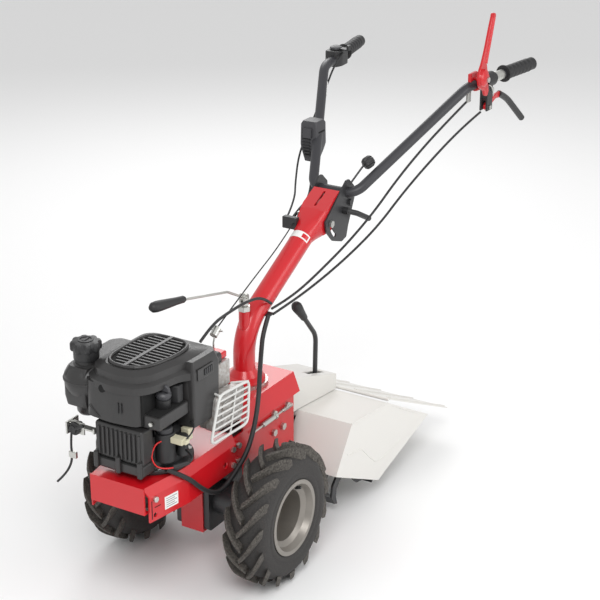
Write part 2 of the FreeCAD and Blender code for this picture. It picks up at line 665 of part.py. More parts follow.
def tyre():
    """Agricultural tyre: hollow carcass and two rows of slanted lugs."""
    half = TYRE_WIDTH / 2
    carcass = turned([(76.2, half - 8), (90, half - 5), (93, half - 0.5), (118, half),
                      (138, half - 4),
                      (148, half - 22), (150, 0), (148, -half + 22), (138, -half + 4),
                      (118, -half), (93, -half + 0.5), (90, -half + 5), (76.2, -half + 8),
                      (76.2, -half + 12), (92, -half + 10), (130, -half + 14),
                      (140, -half + 26), (142, 0), (140, half - 26), (130, half - 14),
                      (92, half - 10), (76.2, half - 12)],
                     (0, 0, 0), LEFT, UP)
    envelope = turned([(136, half), (156, half - 3), (164, half - 14), (WHEEL_RADIUS, half - 26),
                       (WHEEL_RADIUS, -half + 26), (164, -half + 14), (156, -half + 3),
                       (136, -half)], (0, 0, 0), LEFT, UP)
    count = 16
    bars = []
    for k in range(count):
        for side in (1, -1):
            bar = box((-4, 60), (-6.5, 6.5), (-WHEEL_RADIUS - 4, -140))
            bar.rotate(V(0, 0, 0), UP, 36)
            if side < 0:
                bar = mirror(bar)
            step = k + (0.5 if side < 0 else 0)
            bar.rotate(V(0, 0, 0), LEFT, 360.0 * step / count)
            bars.append(bar.common(envelope))
    whole = fuse(carcass, *bars)
    whole.translate(V(WHEEL_X, 0, WHEEL_RADIUS))
    return whole.cut(rim())


# --- tiller ---------------------------------------------------------------
def tiller_gear_case():
    """Narrow case over the rotor shaft with a neck that enters the frame."""
    y, z = ROTOR_Y, ROTOR_Z
    outer = fuse(rod((-24, y, z), (24, y, z), 71),
                 plate_x([(y - 58, z), (y + 58, z), (y + 52, 216), (y - 58, 216)], -24, 24))
    inner = fuse(rod((-18, y, z), (18, y, z), 65),
                 plate_x([(y - 51, z), (y + 51, z), (y + 45, 209), (y - 51, 209)], -18, 18))
    neck = rod((0, FRAME_REAR, PTO_Z), (0, y - 52, PTO_Z), 24)
    flange = box((-56, 56), (FRAME_REAR, FRAME_REAR + 8), (PTO_Z - 26, PTO_Z + 56))
    case = fuse(outer, neck, round_edges(flange, 10, REAR)).cut(inner)
    bores = [rod((-40, y, z), (40, y, z), 17 + FIT),
             rod((0, FRAME_REAR - 2, PTO_Z), (0, y - 50, PTO_Z), 15),
             rod((0, y + 40, PTO_Z), (0, y + 50, PTO_Z), 9 + FIT)]
    bores += [rod((x, 250, zz), (x, 262, zz), 5.2) for x, zz in coupling_bolt_spots()]
    return case.cut(Part.makeCompound(bores))


def tiller_worm():
    front = rod((0, 304, PTO_Z), (0, ROTOR_Y - 28, PTO_Z), 9)
    rear = rod((0, ROTOR_Y + 28, PTO_Z), (0, ROTOR_Y + 49, PTO_Z), 9)
    screw = worm((0, ROTOR_Y, PTO_Z), REAR, V(0, 0, -1), TILLER_MODULE,
                 TILLER_WORM_RADIUS, 60)
    return fuse(front, rear, screw)


def dog_clutch():
    """Sliding sleeve that joins the take-off to the tiller worm."""
    return pipe((0, 305, PTO_Z), (0, 327, PTO_Z), 14, 9 + FIT)


def rotor_shaft():
    """Cross shaft with the worm wheel shrunk on."""
    shaft = rod((-186, ROTOR_Y, ROTOR_Z), (186, ROTOR_Y, ROTOR_Z), 17)
    wheel = worm_wheel((0, ROTOR_Y, ROTOR_Z), TILLER_MODULE, TILLER_WHEEL_TEETH,
                       TILLER_WORM_RADIUS, 11, 16.9, 90)
    return fuse(shaft, wheel)


def tine(x, wing, angle):
    """Sickle blade bolted to a flange; its tip turns sideways."""
    top = ROTOR_RADIUS - 7
    blade = plate_x([(-15, 22), (15, 22), (17, 58), (8, 90), (-14, top), (-40, top),
                     (-52, top - 10), (-30, top - 15), (-13, 82), (-7, 62)], x - 3, x + 3)
    tip = plate_x([(-14, top), (-40, top), (-52, top - 10), (-30, top - 15)], x, x + wing)
    whole = fuse(blade, tip)
    whole.rotate(V(0, 0, 0), LEFT, angle)
    whole.translate(V(0, ROTOR_Y, ROTOR_Z))
    return whole


def tines():
    """Three flanges of four tines on each side of the case."""
    pieces = []
    for row, x in enumerate((62, 112, 162)):
        flange = pipe((x - 9, ROTOR_Y, ROTOR_Z), (x - 3, ROTOR_Y, ROTOR_Z), 44, 17)
        hub = pipe((x - 20, ROTOR_Y, ROTOR_Z), (x + 4, ROTOR_Y, ROTOR_Z), 24, 17)
        blades = [tine(x, 30 if k % 2 else -30, 180 - 30 * row + 90 * k) for k in range(4)]
        pieces.append(fuse(flange, hub, *blades))
    return group(*[shape for solid in pieces for shape in (solid, mirror(solid))])


def tiller_hood():
    """Folded hood over the rotor, open below and behind."""
    side = [(318, 258), (503, 238), (733, 111), (458, 41), (242, 149)]
    panel = plate_x(side, HOOD_HALF - HOOD_SHEET, HOOD_HALF)
    t = HOOD_SHEET
    fold = [(242, 149), (318, 258), (503, 238), (503, 238 - t), (319.5, 258 - t), (245.6, 149)]
    skin = plate_x(fold, -HOOD_HALF, HOOD_HALF)
    hood = fuse(skin, panel, mirror(panel))
    return hood.cut(box((-28, 28), (240, 470), (140, 300))).cut(
        box((-58, 58), (240, 312), (140, 300)))


def tiller_cover():
    """Sloping cover over the tiller drive, open below."""
    half = 58.0
    t = HOOD_SHEET
    outer = [(258, 262), (258, 364), (507, 282), (507, 239), (503, 240), (318, 260)]
    inner = [(258 + t, 200), (258 + t, 360), (507 - t, 279.5), (507 - t, 200)]
    shell = plate_x(outer, -half, half).cut(plate_x(inner, -half + t, half - t))
    slot = box((17, 37), (404, 484), (260, 340))
    return shell.cut(slot)


def rear_flap():
    """Hinged soil deflector behind the hood, stiffened by ribs."""
    hinge = V(0, 513, 242)
    slope = V(0, 346, -167).normalize()
    normal = V(0, 167, 346).normalize()
    length = 384.0
    half = 206.0

    def strip(x0, x1, s0, s1, n0, n1):
        corners = [hinge + slope * s + normal * n for s, n in
                   ((s0, n0), (s1, n0), (s1, n1), (s0, n1))]
        return prism([(x0, c.y, c.z) for c in corners], V(x1 - x0, 0, 0))

    plate = strip(-half, half, 4, length, 0, 3)
    ribs = [strip(x - 5, x + 5, 20, length - 8, 2.5, 6)
            for x in (-196, -100, 0, 100, 196)]
    barrel = rod((-half, hinge.y, hinge.z), (half, hinge.y, hinge.z), 4)
    link = strip(-half, half, 0, 6, -1, 3)
    return fuse(plate, barrel, link, *ribs)


def engage_lever():
    """Bent rod that shifts the tiller clutch; it pivots inside the cover."""
    stem = bent_rod([(27, 452, 262), (27, 456, 400), (27, 395, 472)], [50], 6)
    hub = rod((17, 452, 262), (37, 452, 262), 11)
    return fuse(stem, hub)


def engage_knob():
    return turned([(0, 0), (9, 0), (12, 8), (13, 30), (15, 52), (12, 62), (0, 66)],
                  (27, 402, 463.7), V(0, -61, 72).normalize(), LEFT).cut(engage_lever())


# --- steering column ------------------------------------------------------
def column_path():
    return [(0, COLUMN_Y, 398), (0, COLUMN_Y, 514), (0, 470, 678)]


def head_spot(along, up):
    """Point of the column head, measured along and across the upper tube."""
    return (V(0, 470, 678) + V(0, 300, 164).normalize() * along
            + V(0, -164, 300).normalize() * up)


def head_prism(spots, half):
    corners = [head_spot(along, up) for along, up in spots]
    return prism([(-half, c.y, c.z) for c in corners], V(2 * half, 0, 0))


def column():
    """Bent tube with its foot flange, lock stub and the forked head."""
    outer = bent_rod(column_path(), [110], COLUMN_RADIUS)
    bore = bent_rod(column_path(), [110], COLUMN_RADIUS - 3)
    foot = turned([(18, FRAME_TOP + 8.4), (50, FRAME_TOP + 8.4), (50, FRAME_TOP + 14),
                   (36, FRAME_TOP + 20), (COLUMN_RADIUS, FRAME_TOP + 36),
                   (18, FRAME_TOP + 36)], (0, COLUMN_Y, 0), UP, LEFT)
    stub = rod((0, LOCK_Y, 516), (0, LOCK_Y, 571), 13)
    head = head_prism([(0, -25), (30, -36), (88, -46), (106, -44), (114, -34), (112, -20),
                       (108, -8), (108, 24), (30, 29), (0, 25)], HEAD_HALF)
    taper = plate_z([(-24, 440), (24, 440), (HEAD_HALF, 500), (HEAD_HALF, 640),
                     (-HEAD_HALF, 640), (-HEAD_HALF, 500)], 600, 800)
    head = head.common(taper)
    head = head.cut(head_prism([(34, -60), (150, -60), (150, 18), (34, 23)], HEAD_HALF - 4))
    head = head.cut(head_prism([(44, 10), (98, 10), (98, 40), (44, 40)], 3))
    whole = fuse(outer, foot, stub, head).cut(bore)
    holes = [rod((0, LOCK_Y, 340), (0, LOCK_Y, 600), 6 + FIT),
             rod((-50, TILT_Y, TILT_Z), (50, TILT_Y, TILT_Z), 5.0 + FIT),
             rod((-50, SLOT_BOLT_Y, SLOT_BOLT_Z), (50, SLOT_BOLT_Y, SLOT_BOLT_Z), 5.0)]
    return whole.cut(Part.makeCompound(holes))


def head_bolt():
    """Bolt fixed across the column head; it runs in the slots of the clamp."""
    outside = HEAD_HALF + 2 * GAP + CLAMP_PLATE
    y, z = SLOT_BOLT_Y, SLOT_BOLT_Z
    shank = rod((-outside, y, z), (outside, y, z), 5.0)
    heads = [hexagon((side * outside, y, z), LEFT * side, 16, 6) for side in (1, -1)]
    return fuse(shank, *heads)


def lock_rod():
    """Draw bolt through the column; its foot clamps the frame to the ring."""
    stem = rod((0, LOCK_Y, 366), (0, LOCK_Y, 580), 6)
    foot = rod((0, LOCK_Y, 366), (0, LOCK_Y, FRAME_TOP - SHEET - GAP), 26)
    fork = rod((0, LOCK_Y, 575), (0, LOCK_Y, 583), 11)
    ears = [box((6 * side - 2.5, 6 * side + 2.5), (LOCK_Y - 9, LOCK_Y + 9), (581, LOCK_Z))
            for side in (1, -1)]
    rounds = [rod((6 * side - 2.5, LOCK_Y, LOCK_Z), (6 * side + 2.5, LOCK_Y, LOCK_Z), 9)
              for side in (1, -1)]
    pin = rod((-11, LOCK_Y, LOCK_Z), (11, LOCK_Y, LOCK_Z), 3.5)
    return fuse(stem, foot, fork, pin, *ears, *rounds)


def lock_lever():
    """Eccentric with its bent rod."""
    cam = rod((-3.1, LOCK_Y, LOCK_Z), (3.1, LOCK_Y, LOCK_Z), 10)
    arm = bent_rod([(0, LOCK_Y - 5, LOCK_Z + 1), (0, 103, 630), (0, -92, 676)], [30], 3.0)
    grip_core = rod((0, -92, 676), (0, -150, 684), 3.0)
    bore = rod((-5, LOCK_Y, LOCK_Z), (5, LOCK_Y, LOCK_Z), 3.5 + FIT)
    return fuse(cam, arm, grip_core).cut(bore)


def lock_grip():
    start, end = V(0, -66, 671), V(0, -187, 692)
    axis = (end - start).normalize()
    side = LEFT
    whole = turned([(0, 0), (7, 0), (9, 20), (11, 60), (12.5, 100), (11, 116), (6, 122), (0, 123)],
                   tuple(start), axis, side)
    return whole.cut(lock_lever())


# --- handlebar ------------------------------------------------------------
def bar_tube(radius):
    corner = (60, BAR_Y, BAR_Z)
    half = [GRIP_END, ELBOW, corner]
    path = half + [(-x, y, z) for x, y, z in reversed(half)]
    return bent_rod(path, [80, 45, 45, 80], radius)


def handlebar():
    """One bent tube from grip to grip."""
    return bar_tube(BAR_RADIUS).cut(bar_tube(BAR_RADIUS - 2))


def clamp_plates():
    """Two slotted ears that carry the bar, joined by a spacer bolt."""
    outline = [(571, 764), (580, 771), (594, 771), (620, 748), (622, 715), (592, 652),
               (583, 624), (560, 618), (515, 633), (484, 664), (478, 692)]
    inner = HEAD_HALF + GAP
    plate = round_edges(plate_x(outline, inner, inner + CLAMP_PLATE), 6, LEFT)
    holes = [rod((0, TILT_Y, TILT_Z), (60, TILT_Y, TILT_Z), 5.0 + FIT), bar_tube(BAR_RADIUS)]
    reach = math.hypot(SLOT_BOLT_Y - TILT_Y, SLOT_BOLT_Z - TILT_Z)
    start = math.degrees(math.atan2(SLOT_BOLT_Z - TILT_Z, SLOT_BOLT_Y - TILT_Y))
    for step in range(TILT_SWING + 2):
        angle = math.radians(start + step)
        y = TILT_Y + reach * math.cos(angle)
        z = TILT_Z + reach * math.sin(angle)
        holes.append(rod((30, y, z), (50, y, z), 5.4))
    for solid in holes:
        plate = plate.cut(solid)
    spacer = rod((-inner, 597, 711), (inner, 597, 711), 5)
    heads = [hexagon((side * (inner + CLAMP_PLATE), 597, 711), LEFT * side, 16, 6)
             for side in (1, -1)]
    peg = rod((inner + 2, 600, 755), (58, 634, 798), 2.5)
    return fuse(plate, mirror(plate), spacer, *heads, peg)


def bar_spot(distance):
    """Point on the left grip's axis, measured from the elbow."""
    axis = (V(*GRIP_END) - V(*ELBOW)).normalize()
    return V(*ELBOW) + axis * distance, axis


def bar_ring(near, far, outer):
    start, axis = bar_spot(near)
    solid = Part.makeCylinder(outer, far - near, start, axis)
    return solid.cut(Part.makeCylinder(BAR_RADIUS, far - near, start, axis))


def grips():
    """Moulded hand grips with a flange and shallow finger rings."""
    start, axis = bar_spot(157)
    profile = [(BAR_RADIUS, 0), (21, 0), (21, 5), (16, 8)]
    for k in range(6):
        profile += [(17, 18 + 16 * k), (17, 26 + 16 * k), (15.6, 28 + 16 * k)]
    profile += [(17, 118), (17.5, 136), (14, 144), (0, 145), (0, 137), (BAR_RADIUS, 137)]
    side = axis.cross(UP).normalize()
    return both(turned(profile, tuple(start), axis, side))


def control_clamps():
    """Lever brackets on the left bar and the throttle body on the right bar."""
    tube = bar_tube(BAR_RADIUS)
    y, z = DRIVE_LEVER_SPOT
    ear = box((206, 216), (y - 12, y + 28), (970, 990))
    pivot = rod((206, y, z), (247, y, z), 4)
    cap = rod((245, y, z), (248, y, z), 8)
    upper = fuse(bar_ring(26, 52, 17), ear, pivot, cap).cut(tube)
    y, z = CLUTCH_LEVER_SPOT
    block = box((212, 234), (y - 12, y + 16), (z - 7, 950))
    fork = box((217, 229), (y - 15, y + 19), (z - 16, z + 21))
    pin = rod((212, y, z), (234, y, z), 4.0)
    lower = fuse(bar_ring(72, 106, 18), block.cut(fork), pin).cut(tube)
    spot, _ = bar_spot(92)
    body = rod((spot.x, spot.y, spot.z + 10), (spot.x, spot.y, spot.z + 26), 20)
    stud = rod((spot.x, spot.y, spot.z + 24), (spot.x, spot.y, spot.z + 36), 3.5)
    right = fuse(bar_ring(76, 108, 18), body, stud).cut(tube)
    return group(upper, lower, mirror(right))


def drive_lever():
    """Tall lever beside the left grip that engages the drive."""
    y, z = DRIVE_LEVER_SPOT
    outline = [(y - 9, z + 40), (y - 25, z + 10), (y - 24, z - 12), (y - 8, z - 28),
               (y + 16, z - 48), (y + 32, z - 46), (y + 34, z - 30), (y + 22, z - 6),
               (y + 24, z + 14), (y + 12, z + 40), (y + 32, z + 94), (y + 56, z + 152),
               (y + 50, z + 160), (y + 42, z + 156), (y + 16, z + 98)]
    blade = plate_x(outline, 237.4, 244.6)
    return blade.cut(rod((220, y, z), (250, y, z), 4 + FIT))


def clutch_lever():
    """Hand lever below the left grip."""
    y, z = CLUTCH_LEVER_SPOT
    arm = bent_rod([(223, y, z), (223, y + 75, z + 9), (237, 1190, 817)], [24], 5.5)
    hub = rod((217.4, y, z), (228.6, y, z), 9)
    return fuse(arm, hub).cut(rod((200, y, z), (240, y, z), 4.0 + FIT))


def throttle_lever():
    """Thumb lever on top of the throttle body."""
    spot, _ = bar_spot(92)
    x, y, z = -spot.x, spot.y, spot.z + 26 + GAP
    disc = rod((x, y, z), (x, y, z + 4), 16)
    arm = plate_z([(x, y - 6), (x + 44, y - 14), (x + 46, y - 2), (x, y + 6)], z, z + 3)
    tab = box((x + 40, x + 46), (y - 14, y - 1), (z, z + 14))
    return fuse(disc, arm, tab).cut(rod((x, y, z - 5), (x, y, z + 12), 3.5 + FIT))


def clamp_handle():
    """Curved hand lever with the stud that tightens the clamp."""
    outside = HEAD_HALF + 2 * GAP + CLAMP_PLATE
    hub = rod((outside, TILT_Y, TILT_Z), (outside + 14, TILT_Y, TILT_Z), 9)
    stud = rod((-outside, TILT_Y, TILT_Z), (outside + 2, TILT_Y, TILT_Z), 5.0)
    nut = hexagon((-outside, TILT_Y, TILT_Z), LEFT * -1, 16, 8)
    arm = bent_rod([(outside + 8, TILT_Y, TILT_Z), (66, 590, 688), (72, 642, 660)], [20], 7)
    return fuse(hub, stud, nut, arm)


def switch_box():
    """Electric start box clipped round the right bar."""
    body = round_edges(box((-160, -112), (694, 742), (792, 866)), 6)
    wedge = prism([(-156, 698, 793), (-116, 698, 793), (-122, 722, 762), (-150, 722, 762)],
                  V(0, 30, 0))
    pocket = box((-150.5, -125.5), (690, 700), (825.5, 852.5))
    return fuse(body, wedge).cut(bar_tube(BAR_RADIUS)).cut(pocket)


def switch_rocker():
    """Push switch in the front face of the start box."""
    return round_edges(box((-150, -126), (688, 697), (826, 852)), 2, REAR)


def rope_guide():
    """Wire stand with a rubber bead that guides the starter rope."""
    stand = bent_rod([(45, -22, 512), (45, -22, 560), (45, -14, 582)], [14], 2.2)
    bead = rod((45, -22, 578), (45, -4, 590), 9)
    ears = [rod((45, -13, 584), (45 + 17 * side, -10, 588), 1.6) for side in (1, -1)]
    return fuse(stand, bead, *ears)


def starter_handle():
    """Fluted pull handle parked on the peg of the clamp."""
    base = (58, 634, 798)
    axis = V(34, 70, 34).normalize()
    side = axis.cross(UP).normalize()
    knob = turned([(0, 1.6), (8, 1.6), (14, 6), (14, 24), (9, 30), (0, 30)], base, axis, side)
    flutes = []
    for k in range(10):
        spoke = side * 15.5
        spoke = FreeCAD.Rotation(axis, 36 * k).multVec(spoke)
        flutes.append(Part.makeCylinder(2.6, 40, V(*base) + spoke - axis * 4, axis))
    return knob.cut(Part.makeCompound(flutes))


# --- cables ---------------------------------------------------------------
CLUTCH_CABLE = [(218, 966, 880), (196, 905, 850), (158, 815, 784), (124, 726, 714),
                (104, 634, 650), (84, 540, 606), (64, 450, 572), (52, 360, 552),
                (44, 290, 542), (36, 242, 534)]
DRIVE_CABLE = [(206, 916, 922), (186, 850, 884), (152, 768, 822), (124, 684, 756),
               (106, 604, 694), (84, 516, 638), (62, 432, 594), (50, 352, 566),
               (40, 286, 552), (31, 244, 546)]
SWITCH_CABLE = [(-136, 713, 756), (-116, 676, 742), (-88, 628, 724), (-62, 566, 706),
                (-52, 500, 700), (-44, 440, 682)]
THROTTLE_CABLE = [(-202, 985, 980), (-196, 930, 960), (-186, 870, 914), (-176, 780, 842),
                  (-168, 700, 780), (-126, 612, 732), (-78, 530, 716), (-52, 450, 698)]
CONDUIT = [(33, 226, 536), (34, 200, 500), (48, 170, 470), (74, 122, 442), (100, 76, 404),
           (112, 40, 352), (114, 6, 300), (112, -40, 268), (110, -92, 244), (108, -130, 252),
           (106, -172, 284), (104, -216, 330), (80, -262, 364)]
THROTTLE_HOSE = [(33, 238, 562), (34, 200, 592), (34, 130, 604), (38, 50, 606),
                 (42, -20, 604), (40, -66, 578)]
STARTER_ROPE = [(45, -4, 592), (16, 176, 632), (-14, 360, 664), (-34, 480, 704)]


def bar_cables():
    """Control cables between the levers and the column."""
    runs = ((CLUTCH_CABLE, 3.0, "clutch_cable"), (DRIVE_CABLE, 3.0, "drive_cable"),
            (SWITCH_CABLE, 4.0, "switch_cable"), (THROTTLE_CABLE, 2.5, "throttle_cable"))
    return group(*[cable(points, radius, name) for points, radius, name in runs])


def column_cables():
    """Cables between the column and the engine."""
    runs = ((CONDUIT, 5.5, "conduit"), (THROTTLE_HOSE, 3.5, "throttle_hose"),
            (STARTER_ROPE, 1.6, "starter_rope"))
    return group(*[cable(points, radius, name) for points, radius, name in runs])


def make_all():
    """Every node and its shape."""
    makers = [engine_deck, rear_frame, slew_ring, gear_case, frame_bolts,
              crankcase, cylinder, rocker_cover, blower_housing, cooling_grille, fuel_tank,
              fuel_cap, oil_cap, air_filter_cover, muffler, muffler_guard,
              throttle_bracket, crankshaft, flywheel, rope_guide,
              drive_pulley, driven_pulley, drive_belt, idler, input_shaft,
              axle_worm_wheel, pto_shaft, axle_shaft,
              tiller_gear_case, tiller_worm, dog_clutch, rotor_shaft, tines,
              tiller_hood, tiller_cover, rear_flap, engage_lever, engage_knob,
              column, head_bolt, lock_rod, lock_lever, lock_grip,
              clamp_plates, handlebar, grips, control_clamps, drive_lever,
              clutch_lever, throttle_lever, clamp_handle, switch_box, switch_rocker,
              starter_handle, bar_cables, column_cables]
    pieces = {make.__name__: make() for make in makers}
    for name, shape in (("rim", rim()), ("tyre", tyre())):
        pieces["left_" + name] = shape
        pieces["right_" + name] = mirror(shape)
    return pieces


def main():
    os.makedirs("parts", exist_ok=True)
    for name, shape in make_all().items():
        placed = shape.copy()
        placed.translate(V(0, ORIGIN_SHIFT, 0))
        placed.exportStep("parts/" + name + ".step")
        print(name, "solids", len(placed.Solids), "valid", placed.isValid())


main()
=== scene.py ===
"""Looks of the two-wheel walking tractor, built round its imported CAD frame."""
import json
import math

import bmesh
import bpy
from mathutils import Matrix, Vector


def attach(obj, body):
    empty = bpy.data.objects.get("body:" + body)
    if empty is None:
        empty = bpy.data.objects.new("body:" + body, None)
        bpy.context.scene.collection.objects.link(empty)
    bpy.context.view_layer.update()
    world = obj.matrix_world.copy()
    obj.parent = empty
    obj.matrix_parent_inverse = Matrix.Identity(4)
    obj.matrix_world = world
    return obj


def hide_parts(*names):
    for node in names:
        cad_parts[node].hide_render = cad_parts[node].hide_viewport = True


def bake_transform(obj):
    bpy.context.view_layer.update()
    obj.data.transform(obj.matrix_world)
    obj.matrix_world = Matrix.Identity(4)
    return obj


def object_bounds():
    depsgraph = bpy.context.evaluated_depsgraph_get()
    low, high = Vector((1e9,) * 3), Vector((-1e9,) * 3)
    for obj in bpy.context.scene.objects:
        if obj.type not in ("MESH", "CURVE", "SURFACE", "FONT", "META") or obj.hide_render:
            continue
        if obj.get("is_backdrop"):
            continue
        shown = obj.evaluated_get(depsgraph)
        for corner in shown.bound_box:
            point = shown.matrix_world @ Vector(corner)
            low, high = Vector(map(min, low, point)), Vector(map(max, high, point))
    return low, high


SHIFT = -433.353            # the CAD's own move along Y, in millimetres
CAMERA_SPOT = (1878, -2704, 1970)
CAMERA_AIM = (0, 425, 499)
CAMERA_LENS = 95.85
SENSOR_WIDTH = 36.0
FLOOR_HALF = 40.0           # metres
WHEEL_X = 194.0
AXLE_HEIGHT = 166.0
LUG_COUNT = 15

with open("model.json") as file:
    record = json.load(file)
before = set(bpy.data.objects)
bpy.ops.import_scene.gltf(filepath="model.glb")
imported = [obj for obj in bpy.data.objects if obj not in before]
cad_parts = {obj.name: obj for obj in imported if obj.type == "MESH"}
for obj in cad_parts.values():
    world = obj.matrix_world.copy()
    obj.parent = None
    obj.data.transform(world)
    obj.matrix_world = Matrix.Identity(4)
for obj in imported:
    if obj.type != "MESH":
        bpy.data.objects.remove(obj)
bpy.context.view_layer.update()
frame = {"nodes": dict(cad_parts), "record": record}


# --- materials ------------------------------------------------------------
def material(name, colour, rough, metal=0.0, coat=0.0, bump=0.0, scale=60.0, mottle=0.0,
             second=None):
    """Principled surface with optional fine bump and a second, mottled colour."""
    made = bpy.data.materials.new(name)
    made.use_nodes = True
    tree = made.node_tree
    shader = tree.nodes["Principled BSDF"]
    shader.inputs["Base Color"].default_value = (*colour, 1)
    shader.inputs["Roughness"].default_value = rough
    shader.inputs["Metallic"].default_value = metal
    shader.inputs["Coat Weight"].default_value = coat
    shader.inputs["Coat Roughness"].default_value = 0.12
    if bump or second:
        place = tree.nodes.new("ShaderNodeTexCoord")
        noise = tree.nodes.new("ShaderNodeTexNoise")
        noise.inputs["Scale"].default_value = scale
        noise.inputs["Detail"].default_value = 5.0
        tree.links.new(place.outputs["Object"], noise.inputs["Vector"])
    if bump:
        relief = tree.nodes.new("ShaderNodeBump")
        relief.inputs["Strength"].default_value = bump
        relief.inputs["Distance"].default_value = 0.001
        tree.links.new(noise.outputs["Fac"], relief.inputs["Height"])
        tree.links.new(relief.outputs["Normal"], shader.inputs["Normal"])
    if second:
        ramp = tree.nodes.new("ShaderNodeValToRGB")
        ramp.color_ramp.elements[0].position = 0.42 - mottle
        ramp.color_ramp.elements[1].position = 0.58 + mottle
        ramp.color_ramp.elements[0].color = (*colour, 1)
        ramp.color_ramp.elements[1].color = (*second, 1)
        tree.links.new(noise.outputs["Fac"], ramp.inputs["Fac"])
        tree.links.new(ramp.outputs["Color"], shader.inputs["Base Color"])
    return made


M = {
    "red_paint": material("red_paint", (0.56, 0.006, 0.012), 0.33, coat=0.35, bump=0.04,
                          scale=900),
    "cream_paint": material("cream_paint", (0.72, 0.705, 0.67), 0.42, coat=0.15, bump=0.05,
                            scale=900),
    "charcoal_paint": material("charcoal_paint", (0.035, 0.035, 0.04), 0.42, bump=0.06,
                               scale=900),
    "black_paint": material("black_paint", (0.028, 0.028, 0.03), 0.38, bump=0.04, scale=700),
    "zinc": material("zinc", (0.58, 0.58, 0.55), 0.32, metal=0.9, bump=0.05, scale=500),
    "steel": material("steel", (0.45, 0.45, 0.45), 0.3, metal=1.0),
    "cast_alloy": material("cast_alloy", (0.42, 0.42, 0.42), 0.5, metal=0.8, bump=0.25,
                           scale=500),
    "rim_silver": material("rim_silver", (0.27, 0.25, 0.225), 0.38, metal=0.6, bump=0.05,
                           scale=800),
    "exhaust": material("exhaust", (0.55, 0.55, 0.54), 0.42, metal=0.6, bump=0.12, scale=120,
                        second=(0.36, 0.32, 0.29), mottle=0.1),
    "wire_white": material("wire_white", (0.66, 0.66, 0.64), 0.38),
    "shroud_plastic": material("shroud_plastic", (0.030, 0.029, 0.029), 0.34, bump=0.12,
                               scale=1400),
    "black_plastic": material("black_plastic", (0.022, 0.022, 0.023), 0.45, bump=0.08,
                              scale=1200),
    "grey_plastic": material("grey_plastic", (0.05, 0.05, 0.055), 0.45),
    "tyre_rubber": material("tyre_rubber", (0.020, 0.019, 0.019), 0.72, bump=0.25, scale=300,
                            second=(0.040, 0.036, 0.033), mottle=0.1),
    "black_rubber": material("black_rubber", (0.017, 0.017, 0.018), 0.55, bump=0.05, scale=600),
    "cast_iron": material("cast_iron", (0.16, 0.16, 0.16), 0.6, metal=0.6, bump=0.3, scale=300),
    "lug_rubber": material("lug_rubber", (0.034, 0.030, 0.026), 0.78, bump=0.3, scale=250,
                           second=(0.105, 0.095, 0.083), mottle=0.08),
    # near-black for holes, slots, gaps and recess floors: painted shade, not a surface colour
    "painted_shade": material("painted_shade", (0.004, 0.004, 0.004), 0.9),
    "connector": material("connector", (0.62, 0.58, 0.42), 0.4),
    "red_wire": material("red_wire", (0.6, 0.015, 0.015), 0.35),
    "label": material("label", (0.82, 0.82, 0.80), 0.4),
    "label_ink": material("label_ink", (0.30, 0.30, 0.31), 0.5),
}
SLOTS = {s["node"]: s["material_slot"] for s in frame["record"]["subparts"]}

for node, obj in frame["nodes"].items():
    obj.data.materials.clear()
    obj.data.materials.append(M[SLOTS[node]])


# --- shape helpers (millimetres, wheel axle above y = 0) -------------------
def at(point):
    return Vector((point[0], point[1] + SHIFT, point[2])) / 1000


def settle(name, mesh, mat, body, bevel=0.0, segments=3, smooth=True, angle=35):
    """Turn a mesh into a named piece that rides on a CAD body."""
    obj = bpy.data.objects.new(name, mesh)
    bpy.context.scene.collection.objects.link(obj)
    mesh.materials.append(M[mat])
    if smooth:
        mesh.shade_smooth()
        sharp = obj.modifiers.new("sharp", "EDGE_SPLIT")
        sharp.split_angle = math.radians(angle)
        if bevel:
            obj.modifiers.remove(sharp)
    if bevel:
        edge = obj.modifiers.new("edge", "BEVEL")
        edge.width = bevel / 1000
        edge.segments = segments
        edge.limit_method = "ANGLE"
        edge.angle_limit = math.radians(28)
        edge.harden_normals = True
    if body:
        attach(obj, body)
    return obj


def mesh_from(name, points, faces):
    mesh = bpy.data.meshes.new(name)
    mesh.from_pydata([at(p) for p in points], [], faces)
    tool = bmesh.new()
    tool.from_mesh(mesh)
    bmesh.ops.remove_doubles(tool, verts=tool.verts, dist=1e-6)
    bmesh.ops.recalc_face_normals(tool, faces=tool.faces)
    tool.to_mesh(mesh)
    tool.free()
    return mesh


def loft(name, rings, mat, body, closed=True, **look):
    """Skin through rings of equal length; the first and last are capped."""
    n = len(rings[0])
    points = [p for ring in rings for p in ring]
    faces = []
    for k in range(len(rings) - 1):
        for i in range(n):
            j = (i + 1) % n
            faces.append((k * n + i, k * n + j, (k + 1) * n + j, (k + 1) * n + i))
    if closed:
        faces.append(tuple(range(n)))
        faces.append(tuple((len(rings) - 1) * n + i for i in range(n)))
    return settle(name, mesh_from(name, points, faces), mat, body, **look)


def slab(name, outline, axis, low, high, mat, body, **look):
    """Extrude an outline along x, y or z; it gives the other two coordinates."""
    def spot(pair, depth):
        place = {"x": (depth, pair[0], pair[1]), "y": (pair[0], depth, pair[1]),
                 "z": (pair[0], pair[1], depth)}
        return place[axis]
    return loft(name, [[spot(p, low) for p in outline], [spot(p, high) for p in outline]],
                mat, body, **look)


def block(name, xs, ys, zs, mat, body, **look):
    outline = [(xs[0], ys[0]), (xs[1], ys[0]), (xs[1], ys[1]), (xs[0], ys[1])]
    return slab(name, outline, "z", zs[0], zs[1], mat, body, **look)


def resample(outline, count):
    """Evenly spaced points round a closed outline, from its first corner."""
    corners = [Vector(p) for p in outline]
    lengths = [(corners[(i + 1) % len(corners)] - c).length for i, c in enumerate(corners)]
    whole = sum(lengths)
    spots = []
    for k in range(count):
        left = whole * k / count
        i = 0
        while left > lengths[i]:
            left -= lengths[i]
            i += 1
        spots.append(corners[i].lerp(corners[(i + 1) % len(corners)], left / lengths[i]))
    return spots


